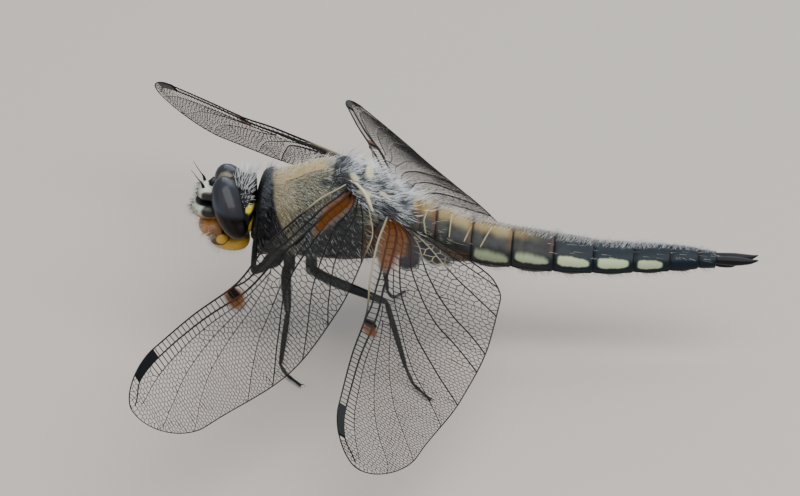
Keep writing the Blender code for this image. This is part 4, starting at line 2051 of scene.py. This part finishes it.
@dataclass
class CellNet:
    """The cells of a wing, strip by strip between its main veins."""

    kind: WingKind
    steps: int = 500  # stations where the strips are measured
    ladders: tuple = ("costa", "subcosta", "radius")  # veins with a single row of cells behind
    whole_from: float = 0.945  # the tip past this share is one field of cells
    polygons: list = field(default_factory=list)

    def __post_init__(self) -> None:
        """Cuts the wing into strips and fills each with cells."""
        strips = [(key, *np.array(rows).T) for key, rows in self.strips()]
        seeds = [self.sow(*strip) for strip in strips]
        for index, strip in enumerate(strips):
            self.fill(index, strips, seeds)

    def strips(self) -> list:
        """Finds the strips between neighbouring veins.

        Returns:
            The two veins and the (share, upper, lower fraction) rows of every strip.
        """
        open_strips: dict = {}
        done = []
        for share in np.linspace(0.004, 0.996, self.steps):
            rows = self.kind.veins_at(float(share))
            if share > self.whole_from:
                rows = [rows[0], rows[-1]]
            seen = set()
            for (upper, _, first), (lower, _, second) in zip(rows, rows[1:]):
                key = (first, second)
                seen.add(key)
                open_strips.setdefault(key, []).append((share, upper, lower))
            for key in [k for k in open_strips if k not in seen]:
                done.append((key, open_strips.pop(key)))
        done += open_strips.items()
        return [(key, rows) for key, rows in done if len(rows) > 2]

    def cell(self, share: float, fraction: float) -> float:
        """Finds the wanted size of a cell, smaller to the tip and to the rear.

        Args:
            share: share of the length.
            fraction: fraction of the chord.

        Returns:
            Its size, in millimetres.
        """
        kind = self.kind
        size = kind.base_cell + (kind.tip_cell - kind.base_cell) * float(soft_step(0.05, 0.75, share))
        return size * (1.15 - 0.35 * fraction)

    def sow(self, key: tuple, shares: Array, upper: Array, lower: Array) -> Array:
        """Lays the seeds of one strip, in a single row if it is a ladder.

        Args:
            key: the veins before and behind it.
            shares: its stations along the wing.
            upper: fractions of its front edge there.
            lower: fractions of its rear edge there.

        Returns:
            One flat point for each cell.
        """
        plan = self.kind.plan
        top, bottom = plan.flat(shares, upper), plan.flat(shares, lower)
        barred = key[0] in self.ladders and key[1] != "margin"
        seeds = []
        x, column = top[0, 0], 0
        while x < top[-1, 0]:
            y0 = float(np.interp(x, top[:, 0], top[:, 1]))
            y1 = float(np.interp(x, bottom[:, 0], bottom[:, 1]))
            middle = float(np.interp(x / plan.length, shares, (upper + lower) / 2))
            size = self.cell(x / plan.length, middle)
            ladder = barred and x / plan.length < self.kind.mark[1] - 0.05
            rows = 1 if ladder else max(1, round((y1 - y0) / size))
            step = size * (0.82 if rows > 1 else 1.25 if ladder else 1.0)
            if y1 - y0 > 0.1:
                for row in range(rows):
                    shift = 0.5 if rows == 1 else 0.5 + 0.22 * (-1) ** column
                    jitter = RANDOM.normal(0, 0.06, 2) * size * (rows > 1)
                    y = y0 + (y1 - y0) * (row + shift) / rows
                    seeds.append((x + step / 2 + jitter[0], y + jitter[1]))
            x += step
            column += 1
        return np.array(seeds).reshape(-1, 2)

    def fill(self, index: int, strips: list, seeds: list) -> None:
        """Takes the cells of one strip, shared with the strips that it runs on into.

        Args:
            index: number of the strip.
            strips: all strips.
            seeds: the seeds of every strip.
        """
        key, shares, upper, lower = strips[index]
        own = seeds[index]
        plan = self.kind.plan
        top, bottom = plan.flat(shares, upper), plan.flat(shares, lower)
        if len(own) < 2:
            return
        reach = 2.2 * self.kind.base_cell
        sides, others = [top, bottom], []
        for mine, end in ((0, -1), (-1, 0)):
            met = [
                seeds[number]
                for number, strip in enumerate(strips)
                if self.meets(key, strip[0]) and abs(strip[1][end] - shares[mine]) < 0.006 and number != index
            ]
            if met:
                every = np.vstack(met)
                others.append(every[np.abs(every[:, 0] - top[mine, 0]) < reach])
            else:
                sides.append(np.array([top[mine], bottom[mine]]))
        ghosts = []
        for side in sides:
            near = nearest_on(own, side)
            away = np.linalg.norm(own - near, axis=1)
            close = (away < reach) & (away > 1e-4)
            ghosts.append(2 * near[close] - own[close])
        shared = np.vstack((own, *others))
        every = np.vstack((shared, *ghosts))
        ring = np.vstack((top, bottom[::-1], top[:1]))
        self.take_cells(every, len(own), len(shared), ring)

    @staticmethod
    def meets(key: tuple, other: tuple) -> bool:
        """Whether two strips can run on into each other."""
        return bool(set(key) & set(other)) or ("costa", "margin") in (key, other)

    def take_cells(self, points: Array, real: int, shared: int, ring: Array) -> None:
        """Adds the cell round each seed; corners made by mirrored seeds stay on the ring.

        Args:
            points: own seeds, then shared ones, then mirrored ones.
            real: how many are the strip's own.
            shared: how many are own or shared.
            ring: the closed outline of the strip.
        """
        out = delaunay_2d_cdt([Vector(p) for p in points], [], [], 0, 1e-5)
        verts = np.array([tuple(v) for v in out[0]])
        source = [ids[0] if ids else -1 for ids in out[3]]
        around: dict = {}
        centres, ghostly = [], []
        for face in out[2]:
            a, b, c = verts[list(face)]
            centres.append(circumcentre(a, b, c))
            ghostly.append(any(source[v] >= shared for v in face))
            for v in face:
                around.setdefault(v, []).append(len(centres) - 1)
        centres = np.array(centres)
        ghostly = np.array(ghostly)
        snapped = centres.copy()
        snapped[ghostly] = nearest_on(centres[ghostly], ring)
        for index, place in enumerate(verts):
            if not 0 <= source[index] < real:
                continue
            ids = around.get(index, [])
            turns = np.arctan2(centres[ids][:, 1] - place[1], centres[ids][:, 0] - place[0])
            polygon = snapped[[ids[i] for i in np.argsort(turns)]]
            keep = np.linalg.norm(polygon - np.roll(polygon, 1, axis=0), axis=1) > 0.05
            if keep.sum() >= 3 and np.abs(polygon - place).max() < 4:
                self.polygons.append(polygon[keep])


def circumcentre(a: Array, b: Array, c: Array) -> Array:
    """Finds the point as far from each of three points.

    Args:
        a: first point.
        b: second point.
        c: third point.

    Returns:
        That point.
    """
    bx, by, cx, cy = b[0] - a[0], b[1] - a[1], c[0] - a[0], c[1] - a[1]
    d = 2 * (bx * cy - by * cx)
    if abs(d) < 1e-12:
        return (a + b + c) / 3
    b2, c2 = bx * bx + by * by, cx * cx + cy * cy
    return np.array((a[0] + (cy * b2 - by * c2) / d, a[1] + (bx * c2 - cx * b2) / d))


def nearest_on(points: Array, line: Array) -> Array:
    """Finds the nearest place on a line of corners.

    Args:
        points: the points.
        line: the corners.

    Returns:
        The nearest place to each point.
    """
    start, span = line[:-1], line[1:] - line[:-1]
    length = np.maximum((span**2).sum(1), 1e-12)
    t = np.clip(((points[:, None] - start[None]) * span[None]).sum(2) / length[None], 0, 1)
    near = start[None] + t[..., None] * span[None]
    best = ((near - points[:, None]) ** 2).sum(2).argmin(1)
    return near[np.arange(len(points)), best]


@dataclass
class WingMaker:
    """Makes the flat pieces of one kind of wing, then sets a copy on each side."""

    kind: WingKind
    vein_share: float = 0.075  # half width of a small vein as a share of its cell's edge
    net_thickness: float = 0.03
    film_thickness: float = 0.012
    mark_thickness: float = 0.17

    def __post_init__(self) -> None:
        """Makes the flat pieces."""
        self.net = self.make_net()
        self.frame = self.make_frame()
        self.film = self.make_film()
        self.mark = self.make_mark()

    def make_net(self) -> Piece:
        """Makes the small veins: every cell is inset and its middle taken out.

        Returns:
            The flat net.
        """
        name = f"{self.kind.name}_net_flat"
        rows, faces = [], []
        for polygon in CellNet(self.kind).polygons:
            faces.append(tuple(range(len(rows), len(rows) + len(polygon))))
            rows += polygon.tolist()
        flat = np.array(rows)
        front, rear = self.kind.plan.edges(np.clip(flat[:, 0] / self.kind.plan.length, 0, 1))
        flat[:, 1] = np.clip(flat[:, 1], front, rear)
        raised = self.kind.raised(flat)
        mesh = bpy.data.meshes.new(name)
        mesh.from_pydata(raised.tolist(), [], faces)
        obj = linked(name, mesh)
        weld(obj, 0.03)
        edit_all(obj)
        bpy.ops.mesh.inset(
            thickness=self.vein_share, use_individual=True, use_even_offset=False, use_relative_offset=True
        )
        bpy.ops.mesh.delete(type="FACE")
        bpy.ops.object.mode_set(mode="OBJECT")
        thicken(obj, self.net_thickness)
        return obj

    def make_frame(self) -> Piece:
        """Makes the main veins and the rim as tapered tubes.

        Returns:
            The flat frame.
        """
        kind = self.kind
        parts = []
        for vein in kind.veins:
            share = np.linspace(vein.at[0], min(vein.at[-1], 0.99), 70)
            path = kind.raised(kind.plan.flat(share, vein.path(share)))
            radii = vein.radius * (1 - 0.55 * share)
            parts.append(tube(vein.name, path, radii, 1))
        share = 1 - np.linspace(1, 0, 130) ** 1.8
        front = kind.raised(kind.plan.flat(share, 0 * share + 0.002))
        parts.append(tube("costa", front, 0.1 * (1 - 0.5 * share), 2))
        edge = 1 - np.linspace(0.0, 1, 150) ** 1.8
        rear = kind.raised(kind.plan.flat(edge, 0 * edge + 0.998))
        parts.append(tube("margin", rear, 0.045 * (1.3 - 0.4 * edge), 1))
        cross = np.linspace(0.0, 0.11, 8)
        path = kind.raised(kind.plan.flat(0 * cross + kind.nodus, cross))
        parts.append(tube("nodus", path, 0.12 - 0.4 * cross, 2))
        return joined(f"{kind.name}_frame_flat", parts)

    def grid(
        self, name: str, columns: int, rows: int, shares: tuple, fractions: Callable
    ) -> Piece:
        """Lays a grid on the pleated surface.

        Args:
            name: name of the object.
            columns: faces along the wing.
            rows: faces across it.
            shares: where it starts and ends along the wing.
            fractions: gives the fractions of its front and rear edge, by share.

        Returns:
            The open grid.
        """
        bpy.ops.object.select_all(action="DESELECT")
        bpy.ops.mesh.primitive_grid_add(x_subdivisions=columns, y_subdivisions=rows, size=2)
        obj = named(bpy.context.active_object, name)
        flat = (coordinates(obj)[:, :2] + 1) / 2
        share = shares[0] + (shares[1] - shares[0]) * flat[:, 0]
        if shares[1] > 0.99:
            share = 1 - (1 - share) ** 1.5
        front, rear = fractions(share)
        fraction = front + (rear - front) * flat[:, 1]
        set_coordinates(obj, self.kind.raised(self.kind.plan.flat(share, fraction)))
        return obj

    def make_film(self) -> Piece:
        """Makes the clear film that fills the cells.

        Returns:
            The flat film.
        """
        obj = self.grid(f"{self.kind.name}_film_flat", 170, 60, (0.0, 0.999), lambda s: (0 * s, 0 * s + 1))
        thicken(obj, self.film_thickness)
        return obj

    def make_mark(self) -> Piece:
        """Makes the thick dark mark behind the front edge near the tip.

        Returns:
            The flat mark.
        """
        radius = next(v for v in self.kind.veins if v.name == "radius")
        obj = self.grid(
            f"{self.kind.name}_mark_flat", 40, 8, self.kind.mark, lambda s: (0 * s, radius.path(s))
        )
        thicken(obj, self.mark_thickness)
        return obj

    def stains(self, obj: Piece) -> None:
        """Marks a flat piece with the stains of its kind.

        Args:
            obj: the flat piece.
        """
        share, fraction = self.kind.plan.locate(coordinates(obj)[:, :2])
        amber = self.kind.stain(self.kind.amber, share, fraction)
        dark = self.kind.stain(self.kind.dark, share, fraction, 0.2)
        set_mask(obj, "amber", amber)
        set_mask(obj, "smoke", 0.5 * dark)
        set_mask(obj, "dark", dark)
        set_mask(obj, "stain", np.maximum(amber * 0.8, dark))
        set_mask(obj, "pale", self.kind.stain(self.kind.pale, share, fraction))

    def set_on(self, pose: WingPose, posture: Posture) -> None:
        """Copies every flat piece to one side and bends it into its pose.

        Args:
            pose: how the wing is set.
            posture: where the body stands.
        """
        name = f"{self.kind.name}_{pose.side.name.lower()}"
        pieces = (
            (self.net, "net", WING_VEIN, ()),
            (self.frame, "veins", WING_VEIN, ()),
            (self.film, "film", WING_FILM, (name,)),
            (self.mark, "mark", WING_MARK, ()),
        )
        for flat, part, finish, nodes in pieces:
            obj = flat.copy()
            obj.data = flat.data.copy()
            bpy.context.collection.objects.link(obj)
            named(obj, f"{name}_{part}")
            self.stains(obj)
            set_coordinates(obj, pose.place(coordinates(obj), self.kind.plan.length))
            face_outward(obj)
            settle(obj, posture.body(), finish, nodes, crease=40)

    def clear(self) -> None:
        """Removes the flat pieces."""
        for obj in (self.net, self.frame, self.film, self.mark):
            bpy.data.objects.remove(obj)


FORE = WingKind(
    "wing_fore",
    Planform(
        35.3,
        (0.0, 0.12, 0.3, 0.51, 0.68, 0.86, 1.0),
        (0.1, -0.45, -0.42, 0.55, 0.3, 0.45, 0.6),
        (0.0, 0.05, 0.12, 0.3, 0.55, 0.8, 1.0),
        (3.0, 4.8, 5.7, 7.7, 9.0, 8.15, 7.6),
        0.84,
        3.25,
    ),
    (
        Vein("subcosta", (0.0, 0.2, 0.35, 0.46, 0.51), (0.12, 0.125, 0.1, 0.055, 0.004), -0.14, 0.1),
        Vein(
            "radius",
            (0.0, 0.2, 0.35, 0.51, 0.62, 0.75, 0.86, 0.93, 0.985),
            (0.22, 0.2, 0.165, 0.115, 0.095, 0.095, 0.11, 0.12, 0.34),
            0.12,
            0.11,
        ),
        Vein(
            "sector_1",
            (0.38, 0.51, 0.6, 0.7, 0.8, 0.9, 0.965),
            (0.2, 0.165, 0.165, 0.18, 0.215, 0.29, 0.42),
            -0.08,
            0.06,
        ),
        Vein(
            "sector_2",
            (0.48, 0.6, 0.7, 0.8, 0.9, 0.965),
            (0.19, 0.25, 0.32, 0.43, 0.66, 0.995),
            0.06,
            0.055,
        ),
        Vein("between_2", (0.4, 0.55, 0.7, 0.8, 0.875), (0.22, 0.32, 0.5, 0.72, 0.995), -0.05, 0.05),
        Vein(
            "sector_3",
            (0.22, 0.3, 0.45, 0.53, 0.62, 0.69),
            (0.26, 0.3, 0.42, 0.52, 0.75, 0.995),
            0.06,
            0.055,
        ),
        Vein(
            "media_front",
            (0.0, 0.12, 0.25, 0.38, 0.5, 0.6),
            (0.36, 0.31, 0.345, 0.43, 0.68, 0.995),
            -0.06,
            0.08,
        ),
        Vein("media_rear", (0.0, 0.1, 0.2, 0.3, 0.4, 0.48), (0.44, 0.43, 0.5, 0.62, 0.82, 0.995), 0.06, 0.07),
        Vein("cubitus", (0.0, 0.1, 0.2, 0.3, 0.35), (0.54, 0.6, 0.68, 0.86, 0.995), -0.05, 0.07),
        Vein("anal", (0.0, 0.05, 0.1, 0.14), (0.64, 0.76, 0.9, 0.995), 0.03, 0.06),
    ),
    nodus=0.51,
    mark=(0.843, 0.933),
    amber=(
        (0.02, 0.3, 0.05, 0.14),
        (0.07, 0.26, 0.07, 0.13),
        (0.13, 0.27, 0.06, 0.07),
        (0.53, 0.1, 0.03, 0.12),
    ),
    dark=(
        (0.525, 0.06, 0.018, 0.07),
        (0.0, 0.25, 0.02, 0.2),
        (0.14, 0.2, 0.012, 0.03),
        (0.243, 0.2, 0.03, 0.03),
    ),
    pale=((0.05, 0.0, 0.1, 0.02), (0.0, 1.0, 0.1, 0.1)),
    base_cell=0.75,
    tip_cell=0.4,
)
HIND = WingKind(
    "wing_hind",
    Planform(
        34.4,
        (0.0, 0.12, 0.28, 0.44, 0.62, 0.84, 1.0),
        (0.0, -0.2, 0.05, 0.6, 0.4, 0.55, 0.7),
        (0.0, 0.03, 0.07, 0.13, 0.3, 0.55, 0.8, 1.0),
        (3.3, 7.4, 10.2, 11.25, 11.35, 10.4, 8.4, 7.2),
        0.83,
        3.5,
    ),
    (
        Vein("subcosta", (0.0, 0.2, 0.35, 0.44), (0.07, 0.078, 0.05, 0.004), -0.14, 0.1),
        Vein(
            "radius",
            (0.0, 0.2, 0.35, 0.44, 0.6, 0.75, 0.85, 0.93, 0.985),
            (0.14, 0.13, 0.105, 0.085, 0.075, 0.08, 0.09, 0.11, 0.34),
            0.12,
            0.11,
        ),
        Vein(
            "sector_1",
            (0.36, 0.5, 0.6, 0.7, 0.8, 0.9, 0.965),
            (0.13, 0.125, 0.13, 0.155, 0.19, 0.28, 0.42),
            -0.08,
            0.06,
        ),
        Vein(
            "sector_2",
            (0.42, 0.55, 0.65, 0.75, 0.85, 0.95),
            (0.145, 0.2, 0.26, 0.36, 0.55, 0.995),
            0.06,
            0.055,
        ),
        Vein(
            "between_2",
            (0.34, 0.45, 0.58, 0.7, 0.78, 0.85),
            (0.16, 0.235, 0.34, 0.52, 0.75, 0.995),
            -0.05,
            0.05,
        ),
        Vein(
            "sector_3",
            (0.2, 0.3, 0.42, 0.54, 0.62, 0.68),
            (0.165, 0.2, 0.31, 0.52, 0.78, 0.995),
            0.06,
            0.055,
        ),
        Vein(
            "media_front",
            (0.0, 0.1, 0.25, 0.4, 0.5, 0.575),
            (0.21, 0.195, 0.24, 0.42, 0.7, 0.995),
            -0.06,
            0.08,
        ),
        Vein(
            "media_rear",
            (0.0, 0.14, 0.25, 0.33, 0.38, 0.43),
            (0.26, 0.28, 0.4, 0.56, 0.78, 0.995),
            0.06,
            0.07,
        ),
        Vein("cubitus", (0.0, 0.1, 0.2, 0.27, 0.31, 0.35), (0.33, 0.36, 0.5, 0.68, 0.85, 0.995), -0.05, 0.07),
        Vein("anal", (0.0, 0.06, 0.12, 0.16, 0.2), (0.42, 0.47, 0.62, 0.8, 0.995), 0.04, 0.06),
        Vein("anal_rear", (0.0, 0.04, 0.07, 0.09), (0.58, 0.68, 0.85, 0.995), -0.03, 0.05),
    ),
    nodus=0.455,
    mark=(0.817, 0.925),
    amber=(
        (0.03, 0.1, 0.07, 0.13),
        (0.1, 0.1, 0.1, 0.1),
        (0.16, 0.1, 0.06, 0.07),
        (0.06, 0.22, 0.09, 0.1),
        (0.484, 0.07, 0.022, 0.07),
    ),
    dark=(
        (0.458, 0.05, 0.018, 0.06),
        (0.1, 0.29, 0.065, 0.06),
        (0.15, 0.245, 0.028, 0.055),
        (0.045, 0.3, 0.035, 0.05),
        (0.07, 0.44, 0.04, 0.1),
        (0.062, 0.54, 0.03, 0.08),
    ),
    pale=((0.1, 0.0, 0.26, 0.015), (0.068, 0.46, 0.046, 0.13)),
    base_cell=0.72,
    tip_cell=0.4,
)
FORE_HINGE = (2.69, -0.54, 3.6)
HIND_HINGE = (2.89, 3.33, 1.0)
WING_SET = (
    (FORE, (
        WingPose(Side.LEFT, FORE_HINGE, 28.0, 8.8, 43.6, 18.6, 0.9),
        WingPose(Side.RIGHT, FORE_HINGE, 35.9, 10.8, 41.4, 18.6, 1.0),
    )),
    (HIND, (
        WingPose(Side.LEFT, HIND_HINGE, 5.4, 7.7, 24.3, 15.8, 0.3),
        WingPose(Side.RIGHT, HIND_HINGE, 11.0, 8.9, 26.6, 15.8, 0.2),
    )),
)


# ---------------------------------------------------------------- studio


@dataclass(frozen=True)
class Lamp:
    """A square soft light, by its place in metres from the middle of the thorax."""

    name: str
    place: tuple
    size: float
    power: float
    colour: str

    def build(self, middle: Vector) -> None:
        """Adds the light, turned to the model.

        Args:
            middle: the middle of the thorax.
        """
        light = bpy.data.lights.new(self.name, "AREA")
        light.size = self.size
        light.energy = self.power
        light.color = linear(self.colour)[:3]
        obj = linked(self.name, light)
        place = middle + Vector(self.place)
        obj.location = place
        obj.rotation_euler = (middle - place).to_track_quat("-Z", "Y").to_euler()


@dataclass(frozen=True)
class Studio:
    """A pale floor, soft light and the camera."""

    floor_size: float = 3.0
    air: str = "#d3e1f4"  # colour of the light from all round
    air_strength: float = 0.5
    lamps: tuple = (
        Lamp("key", (0.18, 0.12, 0.42), 0.55, 4.0, "#fffdfa"),
        Lamp("fill", (0.35, -0.4, 0.25), 0.5, 0.6, "#e4eeff"),
        Lamp("rim", (-0.35, 0.1, 0.3), 0.4, 1.4, "#f4f8ff"),
    )
    azimuth: float = math.radians(92.61)
    elevation: float = math.radians(24.93)
    distance: float = 0.4
    lens: float = 209.93
    sensor: float = 36.0
    clip: tuple = (0.01, 20.0)
    target: tuple = (0.0, 4.3945, -3.4127)  # mm from the middle of the thorax

    def build(self, posture: Posture) -> None:
        """Builds the floor, the lights and the camera.

        Args:
            posture: where the body stands.
        """
        bpy.ops.object.select_all(action="DESELECT")
        bpy.ops.mesh.primitive_plane_add(size=self.floor_size)
        floor = named(bpy.context.active_object, "floor")
        floor.data.materials.append(FLOOR_PAINT.material())
        world = bpy.data.worlds.new("studio")
        bpy.context.scene.world = world
        world.use_nodes = True
        back = world.node_tree.nodes["Background"]
        back.inputs["Color"].default_value = linear(self.air)
        back.inputs["Strength"].default_value = self.air_strength
        for lamp in self.lamps:
            lamp.build(posture.zero)
        self.set_camera(posture.zero)

    def set_camera(self, middle: Vector) -> None:
        """Sets the camera at its angle and distance.

        Args:
            middle: the middle of the thorax.
        """
        data = bpy.data.cameras.new("camera")
        data.sensor_width = self.sensor
        data.lens = self.lens
        data.clip_start, data.clip_end = self.clip
        camera = linked("camera", data)
        c, s = math.cos(self.elevation), math.sin(self.elevation)
        back = Vector((math.sin(self.azimuth) * c, -math.cos(self.azimuth) * c, s))
        camera.location = middle + Vector(self.target) * MM + back * self.distance
        camera.rotation_euler = (math.pi / 2 - self.elevation, 0, self.azimuth)
        bpy.context.scene.camera = camera


def main() -> None:
    """Builds the whole model in order."""
    logging.basicConfig(level=logging.INFO, format="%(message)s")
    posture = find_posture()
    LOG.info("thorax middle at %s", tuple(round(v / MM, 2) for v in posture.zero))
    Thorax().dress(posture)
    Abdomen().dress(posture)
    Head().dress(posture)
    for leg in LEGS:
        leg.dress(posture)
    for kind, poses in WING_SET:
        maker = WingMaker(kind)
        for pose in poses:
            maker.set_on(pose, posture)
        maker.clear()
    Studio().build(posture)


if __name__ == "__main__":
    main()
